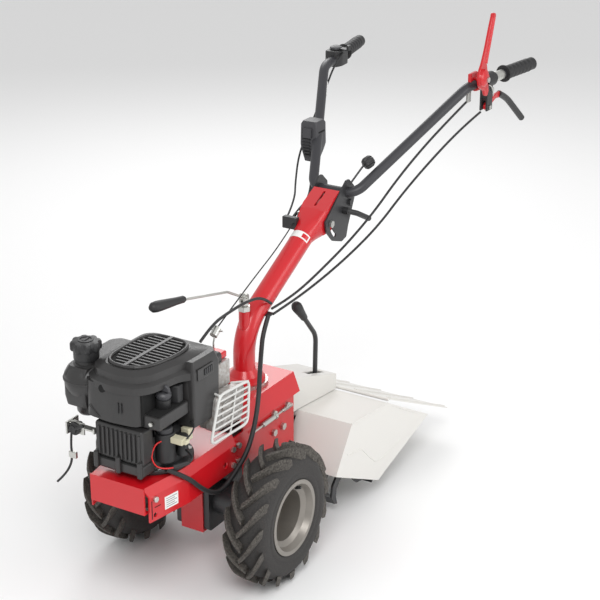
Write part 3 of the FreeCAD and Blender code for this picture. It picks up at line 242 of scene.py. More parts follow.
def rounded(outline, count=96, passes=6):
    """Resampled outline with softened corners."""
    spots = resample(outline, count)
    for _ in range(passes):
        spots = [(spots[i - 1] + spots[i] * 2 + spots[(i + 1) % count]) / 4
                 for i in range(count)]
    return [tuple(s) for s in spots]


def lathe(name, profile, origin, axis, mat, body, steps=64, **look):
    """Revolve (radius, height) pairs about an axis through origin."""
    turn = Vector((0, 0, 1)).rotation_difference(Vector(axis).normalized())
    rings = []
    for k in range(steps):
        a = 2 * math.pi * k / steps
        ring = [Vector(origin) + turn @ Vector((r * math.cos(a), r * math.sin(a), h))
                for r, h in profile]
        rings.append([tuple(p) for p in ring])
    n = len(profile)
    points = [p for ring in rings for p in ring]
    faces = []
    for k in range(steps):
        m = (k + 1) % steps
        for i in range(n - 1):
            faces.append((k * n + i, m * n + i, m * n + i + 1, k * n + i + 1))
    return settle(name, mesh_from(name, points, faces), mat, body, **look)


def rod(name, start, end, radius, mat, body, **look):
    length = (Vector(end) - Vector(start)).length
    return lathe(name, [(0, 0), (radius, 0), (radius, length), (0, length)], start,
                 Vector(end) - Vector(start), mat, body, steps=40, **look)


def line_piece(name, points, radius, mat, body=None, order=3, closed=False, sides=5):
    """Round bar along a smooth curve, as a mesh."""
    curve = bpy.data.curves.new(name, "CURVE")
    curve.dimensions = "3D"
    curve.resolution_u = 12
    curve.bevel_depth = radius / 1000
    curve.bevel_resolution = sides
    curve.use_fill_caps = True
    spline = curve.splines.new("NURBS")
    spline.points.add(len(points) - 1)
    for spot, p in zip(spline.points, points):
        spot.co = (*at(p), 1)
    spline.order_u = order
    spline.use_endpoint_u = not closed
    spline.use_cyclic_u = closed
    carrier = bpy.data.objects.new(name + "_path", curve)
    bpy.context.scene.collection.objects.link(carrier)
    bpy.context.view_layer.update()
    ready = carrier.evaluated_get(bpy.context.evaluated_depsgraph_get())
    mesh = bpy.data.meshes.new_from_object(ready)
    mesh.name = name
    bpy.data.objects.remove(carrier)
    mesh.materials.clear()
    obj = settle(name, mesh, mat, body, smooth=False)
    mesh.shade_smooth()
    return obj


def hexagon(name, centre, axis, across, height, mat, body):
    corner = across / math.sqrt(3)
    turn = Vector((0, 0, 1)).rotation_difference(Vector(axis).normalized())
    ring = [Vector((corner * math.cos(a), corner * math.sin(a), 0))
            for a in (math.radians(60 * k) for k in range(6))]
    rings = [[tuple(Vector(centre) + turn @ (p + Vector((0, 0, h)))) for p in ring]
             for h in (0, height)]
    return loft(name, rings, mat, body, bevel=0.8)


# --- engine shroud --------------------------------------------------------
BODY = "chassis"
low_outline = [(-95, -200), (-95, -298), (-80, -313), (-20, -318), (40, -312), (50, -300),
               (50, -192), (100, -184), (100, -86), (86, -72), (-80, -72), (-95, -90)]
brim = [(-95, -200), (-95, -290), (-72, -313), (-10, -322), (44, -312), (66, -282), (82, -200),
        (101, -184), (101, -86), (84, -74), (-80, -72), (-95, -90)]
collar = [(-88, -200), (-86, -280), (-64, -303), (-8, -312), (36, -304), (60, -272), (76, -200),
          (84, -176), (84, -96), (66, -84), (-66, -84), (-86, -100)]
screen = [(-66, -200), (-64, -262), (-50, -288), (-10, -298), (26, -292), (50, -262), (64, -200),
          (66, -160), (58, -122), (36, -108), (-40, -108), (-64, -130)]


def levels(outlines_and_heights, count=128, passes=5):
    return [[(x, y, z) for x, y in rounded(outline, count, passes)]
            for outline, z in outlines_and_heights]


loft("shroud_body", levels([(low_outline, 474), (low_outline, 478), (low_outline, 548),
                                     (low_outline, 556)], passes=3),
              "shroud_plastic", BODY, angle=50)
upper = loft("shroud_top", levels([(brim, 546), (brim, 549), (brim, 562), (collar, 568),
                                   (collar, 584), (screen, 593), (screen, 594)]),
             "shroud_plastic", BODY, angle=42)
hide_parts("blower_housing", "cooling_grille")
well = [(x * 0.93, -200 + (y + 200) * 0.93) for x, y in screen]
# near-black sheet under the grille ribs: painted shade of the blower inside
loft("screen_well", levels([(well, 593.6), (well, 594.6)], passes=5), "painted_shade", BODY)
for side in (-1, 1):
    for k in range(14):
        y = -284 + 13.0 * k
        reach = 58 - 0.0042 * (y + 196) ** 2
        block("screen_rib_%d_%d" % (k, side), sorted((side * 4, side * reach)),
              (y - 2.6, y + 2.6), (594, 598.5), "shroud_plastic", BODY, bevel=1.0)
block("screen_spine", (-5, 5), (-292, -112), (594, 600), "shroud_plastic", BODY, bevel=1.5)
edge_ring = [(x, y, 596) for x, y in rounded(well, 48, 3)]
line_piece("screen_rim", edge_ring, 4.2, "shroud_plastic", BODY, closed=True)

# side cover and filler recess
loft("side_cover", levels([
    ([(56, -186), (102, -183), (104, -140), (104, -92), (90, -78), (50, -78), (50, -110)], 434),
    ([(56, -188), (103, -185), (105, -140), (105, -90), (90, -76), (50, -76), (50, -110)], 560),
    ([(60, -180), (96, -178), (98, -140), (98, -98), (84, -84), (54, -84), (54, -110)], 584)],
    passes=2), "shroud_plastic", BODY, angle=40)
block("cover_vent", (104, 106.2), (-172, -112), (540, 566), "shroud_plastic", BODY, bevel=1.5)
# near-black strip behind the vent ribs: painted shade inside the vent
block("cover_vent_dark", (105.5, 106.8), (-150, -118), (546, 561), "painted_shade", BODY, bevel=0.4)
for k in range(4):
    block("cover_vent_rib_%d" % k, (106, 107.6), (-146 + 7 * k, -143 + 7 * k), (547, 560),
          "grey_plastic", BODY, bevel=0.5)
# near-black back wall and floor of the recess: painted shade
block("recess_back", (49, 52), (-300, -190), (474, 550), "painted_shade", BODY)
block("recess_tray", (50, 92), (-296, -190), (470, 499), "shroud_plastic", BODY, bevel=3)
block("recess_floor", (54, 88), (-290, -196), (499, 500), "painted_shade", BODY)
slab("recess_step", [(52, -196), (84, -196), (84, -214), (66, -222), (52, -222)], "z", 500, 540,
     "black_plastic", BODY, bevel=3)
# near-black disc for the hole: painted shade
lathe("front_hole", [(0, 0), (8.5, 0), (8.5, 1.2), (0, 1.2)], (-38, -317.5, 548), (0, -1, 0.1),
      "painted_shade", BODY)
line_piece("shroud_seam", [(-78, -314, 500), (-64, -317, 488), (-50, -318, 478)], 1.0,
           "black_plastic", BODY)
for k, x in enumerate((0, 8)):
    block("front_slot_%d" % k, (x, x + 3), (-318.5, -316), (500, 524), "black_plastic", BODY,
          bevel=0.8)

# filler cap of the oil in the recess
axis = Vector((14, -8, 123)).normalized()
foot = Vector((66, -244, 523.4))
lathe("oil_neck", [(0, 0), (12, 0), (12, 90), (16, 96), (16, 122), (0, 122)],
             tuple(foot - axis * 123), tuple(axis), "black_plastic", BODY)
cap = lathe("oil_cap_disc", [(0, 0), (15, 0), (17, 3), (17, 10), (13, 14), (0, 15)],
            tuple(foot + axis * 0.2), tuple(axis), "grey_plastic", "oil_filler_cap")
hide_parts("oil_cap")
slab("oil_cap_grip", [(-17, 538), (17, 538), (15, 548), (8, 554), (-8, 554), (-15, 548)], "y",
     -249, -241, "grey_plastic", "oil_filler_cap", bevel=2.5).location.x += 0.068

# --- fuel tank ------------------------------------------------------------
TANK = (-120, -262, 0)
lathe("tank_bulge", [(0, 452), (22, 452), (26, 458), (28, 478), (33, 490), (44, 506),
                            (50, 522), (51, 536), (49, 548), (42, 560), (31, 567), (25, 570),
                            (24, 592), (20, 592), (20, 560)], TANK, (0, 0, 1),
             "shroud_plastic", BODY, angle=60)
back = loft("tank_back", levels([
    ([(-96, -300), (-150, -300), (-158, -280), (-158, -130), (-140, -112), (-96, -112)], 478),
    ([(-94, -306), (-152, -304), (-162, -284), (-162, -126), (-142, -108), (-94, -108)], 500),
    ([(-94, -306), (-152, -304), (-162, -284), (-162, -126), (-142, -108), (-94, -108)], 550),
    ([(-94, -296), (-144, -294), (-152, -276), (-152, -136), (-136, -118), (-94, -118)], 568)],
    passes=4), "shroud_plastic", BODY, angle=45)
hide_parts("fuel_tank")
lathe("tank_seam", [(50, 533), (53, 534.5), (53, 537.5), (50, 539)], TANK, (0, 0, 1),
      "shroud_plastic", BODY)
cap_rings = []
for radius, z, lobes in ((27, 578, 0), (28, 580, 0), (28, 598, 0), (31, 599, 1), (33, 602, 1),
                         (33, 614, 1), (30, 619, 1), (20, 621, 0)):
    ring = []
    for k in range(96):
        a = 2 * math.pi * k / 96
        r = radius + (2.2 * math.tanh(3 * math.cos(8 * a)) - 1 if lobes else 0)
        ring.append((TANK[0] + r * math.cos(a), TANK[1] + r * math.sin(a), z))
    cap_rings.append(ring)
tank_cap = loft("fuel_cap_body", cap_rings, "black_plastic", "tank_cap", angle=40)
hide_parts("fuel_cap")
lathe("fuel_cap_ring", [(13, 620.5), (13, 622.5), (17, 622.5), (17, 620.5)], TANK, (0, 0, 1),
      "black_plastic", "tank_cap")
block("fuel_cap_mark", (-123, -117), (-272, -252), (620.8, 622.6), "black_plastic", "tank_cap",
      bevel=1)

# --- low front of the engine ----------------------------------------------
front = block("filter_cover", (-66, 58), (-314, -272), (384, 466), "shroud_plastic", BODY,
              bevel=6)
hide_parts("air_filter_cover")
block("filter_base", (-68, 60), (-317, -271), (360, 386), "shroud_plastic", BODY, bevel=5)
for k in range(10):
    x = -56 + 11.6 * k
    block("filter_rib_%d" % k, (x, x + 5.2), (-318.5, -312), (392, 458), "shroud_plastic", BODY,
          bevel=2)
for k, x in enumerate((-66, -8, 48)):
    block("filter_clip_%d" % k, (x, x + 12), (-324, -314), (360, 398), "shroud_plastic", BODY,
          bevel=3)
# near-black strip in the gap between cover and base: painted shade
block("filter_gap", (-62, 54), (-317.6, -313), (383.5, 386), "painted_shade", BODY)
lathe("base_ring", [(70, 347), (88, 347), (90, 349), (90, 355), (88, 357), (72, 358), (72, 372),
                    (68, 374)], (0, -200, 0), (0, 0, 1), "black_plastic", BODY, bevel=0)
ring = lathe("crankcase_wall", [(0, 345), (86, 345), (86, 352), (71, 354), (70, 428), (60, 437),
                                (0, 437)], (0, -200, 0), (0, 0, 1), "black_plastic", BODY,
             angle=30)
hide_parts("crankcase")
rod("starter_motor", (62, -238, 372), (62, -238, 440), 22, "black_plastic", BODY, bevel=3)
rod("starter_cap", (62, -238, 436), (62, -238, 452), 17, "grey_plastic", BODY, bevel=3)
rod("starter_solenoid", (84, -205, 376), (84, -205, 424), 13, "black_plastic", BODY, bevel=3)
block("plug_cream", (78, 112), (-246, -226), (420, 434), "connector", BODY, bevel=2)
block("plug_cream_tip", (104, 120), (-243, -229), (423, 432), "connector", BODY, bevel=1.5)
block("coil_block", (70, 92), (-192, -176), (404, 432), "connector", BODY, bevel=3)
line_piece("wire_red_upper", [(80, -240, 428), (64, -262, 428), (56, -276, 412), (58, -282, 396)],
           1.7, "red_wire", BODY)
line_piece("wire_red_lower", [(58, -282, 398), (62, -284, 380), (84, -274, 370),
                              (104, -262, 376)], 1.7, "red_wire", BODY)
line_piece("wire_black", [(112, -236, 428), (118, -216, 440), (112, -196, 452),
                          (92, -186, 448)], 1.8, "black_rubber", BODY)
rod("inline_fuse", (100, -262, 376), (128, -244, 386), 5, "black_plastic", BODY,
                bevel=1)
line_piece("loom_tail", [(128, -244, 386), (134, -238, 392), (122, -228, 396),
                         (100, -216, 396)], 2.5, "black_rubber", BODY)
hexagon("shroud_bolt", (72, -297, 484), (0, -1, 0), 9, 5, "zinc", BODY)

# speed control below the tank
block("speed_plate", (-132, -92), (-318, -314), (424, 452), "zinc", BODY, bevel=1)
lathe("speed_drum", [(0, 0), (15, 0), (15, 5), (9, 6), (9, 11), (0, 11)], (-116, -318, 436),
      (0, -1, 0), "black_plastic", BODY, bevel=1)
rod("speed_arm", (-116, -326, 436), (-88, -324, 450), 3.5, "black_plastic", BODY, bevel=1)
line_piece("speed_wire", [(-118, -327, 440), (-122, -328, 400), (-121, -327, 380),
                          (-124, -327, 352), (-146, -326, 318), (-168, -325, 296)], 2.6,
           "black_rubber", BODY)
block("cable_clamp", (-128, -108), (-331, -323), (368, 384), "zinc", BODY, bevel=2)

# --- exhaust and head -----------------------------------------------------
box_outline = [(-128, 398), (-14, 388), (0, 470), (-112, 482)]
silencer = slab("muffler_box", rounded(box_outline, 48, 3), "x", 86, 114, "exhaust", BODY,
                bevel=5)
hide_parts("muffler")
slab("muffler_back", [(-122, 402), (-20, 392), (-10, 462), (-70, 466), (-70, 430), (-118, 430)],
     "x", 72, 88, "exhaust", BODY, bevel=2)
slab("muffler_press", rounded([(-104, 414), (-36, 406), (-26, 452), (-92, 462)], 40, 4), "x",
     113, 117, "exhaust", BODY, bevel=2)
guard_corners = [(-152, 384), (-4, 376), (4, 478), (-114, 488)]
hoop = [(121, y, z) for y, z in rounded(guard_corners, 44, 2)]
guard = line_piece("guard_hoop", hoop, 3.2, "wire_white", BODY, closed=True)
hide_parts("muffler_guard")
for k in range(1, 7):
    t = k / 7
    low = [a + (b - a) * t for a, b in zip(guard_corners[0], guard_corners[3])]
    high = [a + (b - a) * t for a, b in zip(guard_corners[1], guard_corners[2])]
    rod("guard_bar_%d" % k, (121, *low), (121, *high), 2.2, "wire_white", BODY)
rod("guard_cross", (119, -72, 380), (119, -44, 483), 2.2, "wire_white", BODY)
for k, (start, end) in enumerate((((121, -114, 486), (84, -100, 484)),
                                  ((121, 2, 476), (82, -12, 468)),
                                  ((121, -8, 378), (84, -16, 394)))):
    rod("guard_stay_%d" % k, start, end, 2.6, "wire_white", BODY)
rocker = loft("head_cover", [[(x, y, z) for x, z in rounded(o, 64, 4)] for y, o in (
    (-38, [(-40, 428), (62, 428), (62, 514), (-40, 514)]),
    (-16, [(-40, 428), (62, 428), (62, 514), (-40, 514)]),
    (-8, [(-32, 436), (54, 436), (54, 506), (-32, 506)]))], "exhaust", BODY, angle=40)
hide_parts("rocker_cover")
block("head_plate", (-44, 66), (-60, -38), (418, 524), "cast_alloy", BODY, bevel=2)
block("head_shield", (58, 84), (-78, -16), (470, 530), "exhaust", BODY, bevel=3)
block("rear_shroud", (20, 78), (-74, -34), (524, 552), "shroud_plastic", BODY, bevel=8)
block("rear_trim", (40, 74), (-46, -12), (530, 546), "red_paint", BODY, bevel=4)

# --- frame details --------------------------------------------------------
side_low = Vector((78, -322))
side_high = Vector((98, -205))
along = (side_high - side_low).normalized()


def on_flange(distance, z, out=0.0):
    """Point on the slanted left flange of the engine tray."""
    spot = side_low + along * distance
    return (spot.x + along.y * out, spot.y - along.x * out, z)


def flange_patch(name, d0, d1, z0, z1, out, thick, mat, **look):
    rings = [[on_flange(d0, z0, o), on_flange(d1, z0, o), on_flange(d1, z1, o),
              on_flange(d0, z1, o)] for o in (out, out + thick)]
    return loft(name, rings, mat, BODY, **look)


flange_patch("data_plate", 44, 84, 276, 306, 0.1, 0.8, "label")
for k in range(5):
    flange_patch("data_line_%d" % k, 48, 80 - 6 * (k % 2), 280 + 5 * k, 282 + 5 * k, 0.9, 0.15,
                 "label_ink")
# near-black patches for the slot and slit: painted shade
flange_patch("relief_slot", 5, 7.5, 268, 312, 0.0, 0.3, "painted_shade")
flange_patch("relief_slit", 14, 32, 293, 295, 0.0, 0.3, "painted_shade")
hexagon("tray_bolt", on_flange(16, 314, 0.2), (along.y, -along.x, 0), 12, 6, "zinc", BODY)
rod("adjuster_barrel", (92, 103, 316), (92, 156, 316), 6, "zinc", BODY, bevel=1)
rod("adjuster_screw", (92, 60, 314), (92, 190, 317), 2.6, "zinc", BODY)
hexagon("adjuster_nut", (92, 156, 316), (0, 1, 0), 14, 7, "zinc", BODY)
line_piece("adjuster_spring", [(92 + 4.5 * math.cos(k * 1.05), 190 + 0.75 * k,
                                317 + 4.5 * math.sin(k * 1.05)) for k in range(60)], 1.0,
           "zinc", BODY)

# --- wheels ---------------------------------------------------------------


def tyre_piece(side, name):
    def spot(x, y, z):
        return (side * (WHEEL_X + x), y, z + AXLE_HEIGHT)

    profile = [(76.5, 41), (82, 44), (91, 45.5), (94, 48.5), (104, 49), (106, 48), (112, 49.2),
               (124, 49), (134, 47), (141, 41), (147, 30), (150, 14), (150.5, 0)]
    profile += [(r, -x) for r, x in reversed(profile[:-1])]
    profile += [(76.5, -37), (90, -40), (128, -38), (142, -22), (142, 22), (128, 38), (90, 40),
                (76.5, 37)]
    steps = 128
    rings = [[spot(x, r * math.cos(2 * math.pi * k / steps), r * math.sin(2 * math.pi * k / steps))
              for r, x in profile] for k in range(steps)]
    n = len(profile)
    points = [p for ring in rings for p in ring]
    faces = []
    for k in range(steps):
        m = (k + 1) % steps
        for i in range(n):
            j = (i + 1) % n
            faces.append((k * n + i, m * n + i, m * n + j, k * n + j))
    carcass = settle(name + "_carcass", mesh_from(name + "_carcass", points, faces),
                     "tyre_rubber", "wheels", angle=50)
    points, faces = [], []
    for k in range(LUG_COUNT):
        for hand in (1, -1):
            base = 2 * math.pi * (k + (0.5 if hand < 0 else 0)) / LUG_COUNT
            first = len(points)
            stations = 9
            for s in range(stations):
                t = s / (stations - 1)
                x = -5 + 52 * t
                lean = 0.34 * t * t * 0.6 + 0.30 * t
                top = 166.0 - 0.4 * (1 - t) - 17.0 * max(0, t - 0.72) ** 1.35 * 4
                low = 149.0 - 22.0 * max(0, t - 0.62) * 1.6
                width = 6.4 + 2.2 * t
                angle = base + lean
                for rad, half in ((low, width * 1.45), (top, width), (top, -width),
                                  (low, -width * 1.45)):
                    a = angle + half / 160
                    points.append(spot(hand * x, -rad * math.sin(a), -rad * math.cos(a)))
            for s in range(stations - 1):
                for i in range(4):
                    j = (i + 1) % 4
                    faces.append((first + 4 * s + i, first + 4 * s + j,
                                  first + 4 * s + 4 + j, first + 4 * s + 4 + i))
            last = first + 4 * (stations - 1)
            faces.append((first, first + 1, first + 2, first + 3))
            faces.append((last, last + 1, last + 2, last + 3))
    settle(name + "_lugs", mesh_from(name + "_lugs", points, faces), "lug_rubber", "wheels",
           bevel=1.6, segments=2)
    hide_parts(name)


tyre_piece(1, "left_tyre")
tyre_piece(-1, "right_tyre")
for side in (1, -1):
    rod("valve_%d" % side, (side * 222, 34, 221), (side * 236, 36, 225), 3.6, "black_rubber",
        "wheels", bevel=1)
    # near-black disc for the hub hole: painted shade
    lathe("hub_hole_%d" % side, [(0, 0), (12.2, 0), (12.2, 0.6), (0, 0.6)],
          (side * 180.2, 0, 166), (side, 0, 0), "painted_shade", "wheels")

# --- tiller ---------------------------------------------------------------

def emboss(name, pairs, x, mat="cream_paint", radius=2.0):
    for side in (1, -1):
        line_piece(name + ("_l" if side > 0 else "_r"), [(side * x, y, z) for y, z in pairs],
                   radius, mat, BODY)


emboss("hood_wave", [(298, 184), (330, 176), (367, 170), (386, 152), (401, 136), (424, 116),
                     (442, 100), (490, 96), (574, 107)], 209.2)
emboss("hood_press", [(524, 222), (560, 202), (600, 179), (640, 156), (673, 140)], 209.2)
emboss("hood_edge", [(318, 257), (380, 251), (440, 244), (503, 237.5)], 208.6, radius=2.4)

# --- column ---------------------------------------------------------------
hexagon("stub_nut", (0, 173, 560), (0, 0, 1), 27, 12, "zinc", "column_arm")
sticker_start = Vector((0, 470, 678)) - Vector((0, 300, 164)).normalized() * 60
up_dir = Vector((0, 300, 164)).normalized()


def band(name, start, length, mat, radius=26.5, sweep=(0, 360)):
    turn = Vector((0, 0, 1)).rotation_difference(up_dir)
    rings = []
    steps = 48
    for k in range(steps + 1):
        a = math.radians(sweep[0] + (sweep[1] - sweep[0]) * k / steps)
        rings.append([tuple(start + turn @ Vector((r * math.cos(a), r * math.sin(a), h)))
                      for r, h in ((radius, 0), (radius, length))])
    points = [p for ring in rings for p in ring]
    faces = [(2 * k, 2 * k + 2, 2 * k + 3, 2 * k + 1) for k in range(steps)]
    mesh = mesh_from(name, points, faces)
    return settle(name, mesh, mat, "column_arm")


band("column_sticker", sticker_start, 20, "label", 26.3, (-200, -15))
band("column_sticker_red", sticker_start + up_dir * 4, 12, "red_paint", 26.6, (-62, -24))
across = Vector((0, -up_dir.z, up_dir.y))
collar = []
for along_tube, half_x, low_side, high_side, power in (
        (-36, 26.2, -26.2, 26.2, 1.0), (-18, 28.5, -30, 27.5, 0.8), (0, 32.5, -35, 28.6, 0.55),
        (22, 35.6, -38.5, 29.0, 0.35), (34, 35.9, -39, 29.1, 0.3)):
    ring = []
    for k in range(48):
        c, s = math.cos(math.tau * k / 48), math.sin(math.tau * k / 48)
        x = math.copysign(abs(c) ** power, c) * half_x
        u = math.copysign(abs(s) ** power, s)
        u = u * high_side if u > 0 else -u * low_side
        spot = Vector((0, 470, 678)) + up_dir * along_tube + across * u
        ring.append((x, spot.y, spot.z))
    collar.append(ring)
loft("head_collar", collar, "red_paint", "column_arm", angle=50)
block("tie_strap", (-1, 37), (224, 246), (532, 537), "black_plastic", "column_arm", bevel=2)

# --- handlebar controls ---------------------------------------------------
BARS = "bars"
elbow = Vector((210, 900, 960))
end = Vector((261.5, 1189, 968))
grip_dir = (end - elbow).normalized()


def on_bar(distance, side=1):
    p = elbow + grip_dir * distance
    return Vector((side * p.x, p.y, p.z))


for side, tag in ((1, "left"), (-1, "right")):
    way = Vector((side * grip_dir.x, grip_dir.y, grip_dir.z))
    profile = [(12.6, 0), (22, 0), (22.5, 3), (21, 6), (16.2, 9)]
    for k in range(6):
        base = 15 + 17 * k
        profile += [(16.2, base), (17.6, base + 3), (17.8, base + 9), (16.6, base + 13)]
    profile += [(16.2, 118), (16.6, 124), (16.6, 132), (13, 135), (0, 135.6)]
    grip = lathe("grip_" + tag, profile, tuple(on_bar(157, side)), tuple(way), "black_rubber",
                 BARS, angle=40)
    if side > 0:
        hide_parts("grips")
    rod("bar_sleeve_" + tag, tuple(on_bar(116, side)), tuple(on_bar(150, side)), 12.8, "zinc",
        BARS)

# right thumb throttle
spot = on_bar(92, -1)
throttle = loft("throttle_body", [[(spot.x + x, spot.y + y, spot.z + z) for x, y in rounded(
    [(-18, -30), (16, -30), (24, -8), (20, 34), (-14, 34), (-22, 0)], 48, 3)]
    for z in (-19, 12, 24)], "black_plastic", BARS, bevel=3)
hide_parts("control_clamps")
lathe("throttle_dome", [(17, 26.5), (16, 31), (9, 34), (0, 34)], tuple(spot), (0, 0, 1),
      "grey_plastic", "throttle_thumb")

# left: red drive lever, its bracket and the clutch lever
pivot = Vector((241, 917, 980))
lever_outline = [(-10, 40), (-22, 26), (-27, 8), (-24, -12), (-10, -24), (6, -30), (14, -46),
                 (24, -50), (33, -44), (35, -30), (26, -12), (26, 8), (20, 26), (14, 44),
                 (22, 72), (33, 100), (44, 128), (55, 149), (54, 156), (47, 158.0), (40, 155),
                 (28, 128), (17, 100), (6, 72)]
lever = slab("drive_lever_blade", [(pivot.y + y, pivot.z + z) for y, z in
                                   rounded(lever_outline, 120, 2)], "x", 237.6, 245.0,
             "red_paint", "drive_hand_lever", bevel=2.8)
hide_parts("drive_lever")
lathe("drive_lever_cheek", [(0, 0), (24, 0), (22, 8), (14, 13), (0, 14)],
              (243, 913, 984), (1, 0, 0), "red_paint", "drive_hand_lever", bevel=0)
rod("drive_lever_rib", (243, 928, 1018), (243, 966, 1128), 5.2, "red_paint",
    "drive_hand_lever")
lathe("drive_lever_tip", [(0, -6), (6.5, -5), (7.8, 0), (6.5, 5), (0, 6)], (241, 967, 1132),
      (1, 0, 0), "red_paint", "drive_hand_lever", bevel=0)
hexagon("drive_pivot_head", (256, 917, 980), (1, 0, 0), 13, 5, "zinc", BARS)
line_piece("r_clip", [(251, 936, 962), (254, 948, 958), (255, 958, 940), (250, 968, 926),
                      (246, 978, 924)], 1.4, "zinc", BARS)
lathe("red_boss", [(12.6, 0), (18, 0), (18, 34), (12.6, 34)], tuple(on_bar(27)),
      tuple(grip_dir), "red_paint", BARS, bevel=2)
block("boss_ear", (206, 216), (905, 945), (966, 992), "red_paint", BARS, bevel=3)
lathe("clutch_clamp", [(12.6, 0), (19, 0), (19, 36), (12.6, 36)], tuple(on_bar(70)),
      tuple(grip_dir), "black_plastic", BARS, bevel=2)
block("clutch_bracket_left", (229, 234), (970, 1002), (882, 956), "black_plastic", BARS,
      bevel=1.5)
block("clutch_bracket_right", (212, 217), (970, 1002), (882, 956), "black_plastic", BARS,
      bevel=1.5)
block("clutch_bracket_top", (213, 233), (972, 1000), (914, 956), "black_plastic", BARS,
      bevel=2)
hexagon("clutch_bracket_nut", (234, 994, 936), (1, 0, 0), 10, 5, "zinc", BARS)
hexagon("clutch_pin_head", (234, 985, 891), (1, 0, 0), 10, 4, "zinc", BARS)
arm = slab("clutch_arm", [(976, 886), (986, 880), (1010, 890), (1040, 900), (1076, 896),
                          (1084, 904), (1074, 914), (1040, 914), (1006, 904), (984, 901),
                          (976, 896)], "x", 219, 227, "red_paint", "clutch_hand_lever",
           bevel=2.5)
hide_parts("clutch_lever")
line_piece("clutch_handle", [(224, 1062, 908), (227, 1100, 892), (232, 1140, 858),
                             (237, 1192, 814)], 8.5, "black_plastic", "clutch_hand_lever",
           sides=8)

# switch box
box_levels = []
for z, x0, x1, y0, y1 in ((762, -150, -122, 698, 728), (790, -158, -114, 695, 738),
                          (806, -161, -111, 693, 743), (860, -160, -112, 694, 742),
                          (868, -156, -116, 698, 738)):
    box_levels.append([(x, y, z) for x, y in rounded([(x0, y0), (x1, y0), (x1, y1), (x0, y1)],
                                                     64, 2)])
starter = loft("switch_case", box_levels, "grey_plastic", BARS, angle=32)
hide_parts("switch_box")
for k in range(9):
    z = 776 + 8.5 * k
    inset = max(0, (796 - z) * 0.3)
    block("case_rib_%d" % k, (-155 + inset, -130), (689.5 + 2 * (k == 0), 696),
          (z, z + 4.4), "black_plastic", BARS, bevel=1.2)
# near-black strip for the slot: painted shade
block("case_slot", (-113, -110.4), (704, 732), (838, 842), "painted_shade", BARS)
rod("bar_label", (-174, 826, 903), (-190, 860, 928), 12.9, "label", BARS)

# parked pull handle
base = Vector((58, 634, 798))
pull = Vector((34, 70, 34)).normalized()
turn = Vector((0, 0, 1)).rotation_difference(pull)
flutes = []
for r, h in ((7, 1.6), (11, 3), (14, 7), (14.5, 14), (14, 24), (11, 29), (5, 30.5)):
    flutes.append([tuple(base + turn @ Vector((
        (r + (1.1 * math.cos(10 * a) if r > 10 else 0)) * math.cos(a),
        (r + (1.1 * math.cos(10 * a) if r > 10 else 0)) * math.sin(a), h)))
        for a in (2 * math.pi * k / 80 for k in range(80))])
knob = loft("pull_knob", flutes, "black_plastic", "pull_handle", angle=50)
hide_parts("starter_handle")

# lock lever grip
start = Vector((0, -66, 671))
lock_axis = (Vector((0, -187, 692)) - start).normalized()
lock_grip = lathe("lock_grip_cover", [(0, 0), (6.5, 0), (8, 4), (8.6, 30), (10.5, 60), (12, 88),
                                      (12.4, 102), (11.4, 114), (7, 122), (0, 124)],
                  tuple(start), tuple(lock_axis), "black_rubber", "lock_handle", angle=60)
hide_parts("lock_grip")
tiller_knob = lathe("tiller_knob", [(0, -2), (7, 0), (9, 4), (10.5, 24), (13, 48), (13.5, 58),
                                    (11, 66), (5, 70), (0, 70.5)], (27, 402, 463.7),
                    (0, -61, 72), "black_rubber", "tiller_lever", angle=60)
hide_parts("engage_knob")

# --- cables ---------------------------------------------------------------
CLUTCH_CABLE = [(218, 966, 880), (196, 905, 850), (158, 815, 784), (124, 726, 714),
                (104, 634, 650), (84, 540, 606), (64, 450, 572), (52, 360, 552),
                (44, 290, 542), (36, 242, 534)]
DRIVE_CABLE = [(206, 916, 922), (186, 850, 884), (152, 768, 822), (124, 684, 756),
               (106, 604, 694), (84, 516, 638), (62, 432, 594), (50, 352, 566),
               (40, 286, 552), (31, 244, 546)]
SWITCH_CABLE = [(-136, 713, 756), (-116, 676, 742), (-88, 628, 724), (-62, 566, 706),
                (-52, 500, 700), (-44, 440, 682)]
THROTTLE_CABLE = [(-202, 985, 980), (-196, 930, 960), (-186, 870, 914), (-176, 780, 842),
                  (-168, 700, 780), (-126, 612, 732), (-78, 530, 716), (-52, 450, 698)]
CONDUIT = [(33, 226, 536), (34, 200, 500), (48, 170, 470), (74, 122, 442), (100, 76, 404),
           (112, 40, 352), (114, 6, 300), (112, -40, 268), (110, -92, 244), (108, -130, 252),
           (106, -172, 284), (104, -216, 330), (80, -262, 364)]
THROTTLE_HOSE = [(33, 238, 562), (34, 200, 592), (34, 130, 604), (38, 50, 606),
                 (42, -20, 604), (40, -66, 578)]
STARTER_ROPE = [(45, -4, 592), (16, 176, 632), (-14, 360, 664), (-34, 480, 704)]
for name, points, radius in (("clutch_cable", CLUTCH_CABLE, 3.0),
                             ("drive_cable", DRIVE_CABLE, 3.0),
                             ("switch_cable", SWITCH_CABLE, 4.0),
                             ("throttle_cable", THROTTLE_CABLE, 2.5)):
    piece = line_piece(name, points, radius, "black_rubber")
    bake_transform(piece)
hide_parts("bar_cables")
for name, points, radius, mat in (("conduit", CONDUIT, 5.5, "black_rubber"),
                                  ("throttle_hose", THROTTLE_HOSE, 3.5, "black_rubber"),
                                  ("starter_rope", STARTER_ROPE, 1.6, "black_rubber")):
    piece = line_piece(name, points, radius, mat)
    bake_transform(piece)
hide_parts("column_cables")

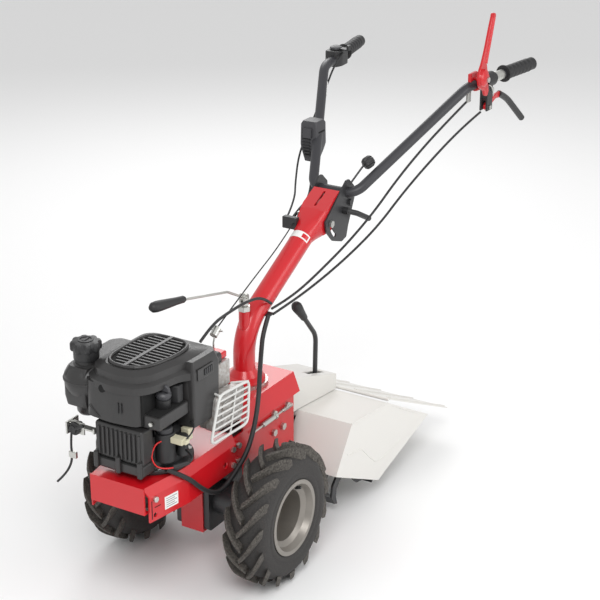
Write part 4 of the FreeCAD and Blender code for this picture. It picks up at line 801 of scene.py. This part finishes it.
# hooks and clips that hold the cable ends
block("drive_cable_hook", (203, 209), (906, 924), (916, 952), "zinc", BARS, bevel=1)
block("cable_clip", (-58, -18), (436, 452), (674, 704), "black_plastic", "column_arm", bevel=2)
block("rope_eye", (-38, -16), (474, 486), (688, 708), "zinc", "column_arm", bevel=1)

# --- stage, lights and camera ---------------------------------------------
scene = bpy.context.scene
floor_mesh = bpy.data.meshes.new("floor")
floor_mesh.from_pydata([(x * FLOOR_HALF, y * FLOOR_HALF, 0) for x, y in
                         ((-1, -1), (1, -1), (1, 1), (-1, 1))], [], [(0, 1, 2, 3)])
floor = bpy.data.objects.new("floor", floor_mesh)
scene.collection.objects.link(floor)
floor_mesh.materials.append(material("floor", (0.93, 0.93, 0.93), 0.85))
floor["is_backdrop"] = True
world = bpy.data.worlds.new("studio")
scene.world = world
world.use_nodes = True
backdrop = world.node_tree.nodes["Background"]
backdrop.inputs["Color"].default_value = (1, 1, 1, 1)
backdrop.inputs["Strength"].default_value = 0.70


def softbox(name, place, target, size, power):
    lamp = bpy.data.lights.new(name, "AREA")
    lamp.energy = power
    lamp.shape = "RECTANGLE"
    lamp.size, lamp.size_y = size
    obj = bpy.data.objects.new(name, lamp)
    scene.collection.objects.link(obj)
    obj.location = place
    obj.rotation_euler = (Vector(target) - Vector(place)).to_track_quat("-Z", "Y").to_euler()
    obj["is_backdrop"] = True


softbox("key", (1.2, -2.2, 2.6), (0, 0, 0.4), (1.4, 1.4), 44)
softbox("side", (3.0, 0.6, 1.6), (0, 0, 0.5), (1.6, 2.0), 26)
softbox("back", (-1.6, 2.4, 2.4), (0, 0.2, 0.5), (1.6, 1.6), 30)

camera_data = bpy.data.cameras.new("camera")
camera_data.lens = CAMERA_LENS
camera_data.sensor_width = SENSOR_WIDTH
camera = bpy.data.objects.new("camera", camera_data)
scene.collection.objects.link(camera)
camera.location = at(CAMERA_SPOT)
aim = at(CAMERA_AIM) - camera.location
camera.rotation_euler = aim.to_track_quat("-Z", "Y").to_euler()
scene.camera = camera
scene.view_settings.view_transform = "Standard"

low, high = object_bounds()
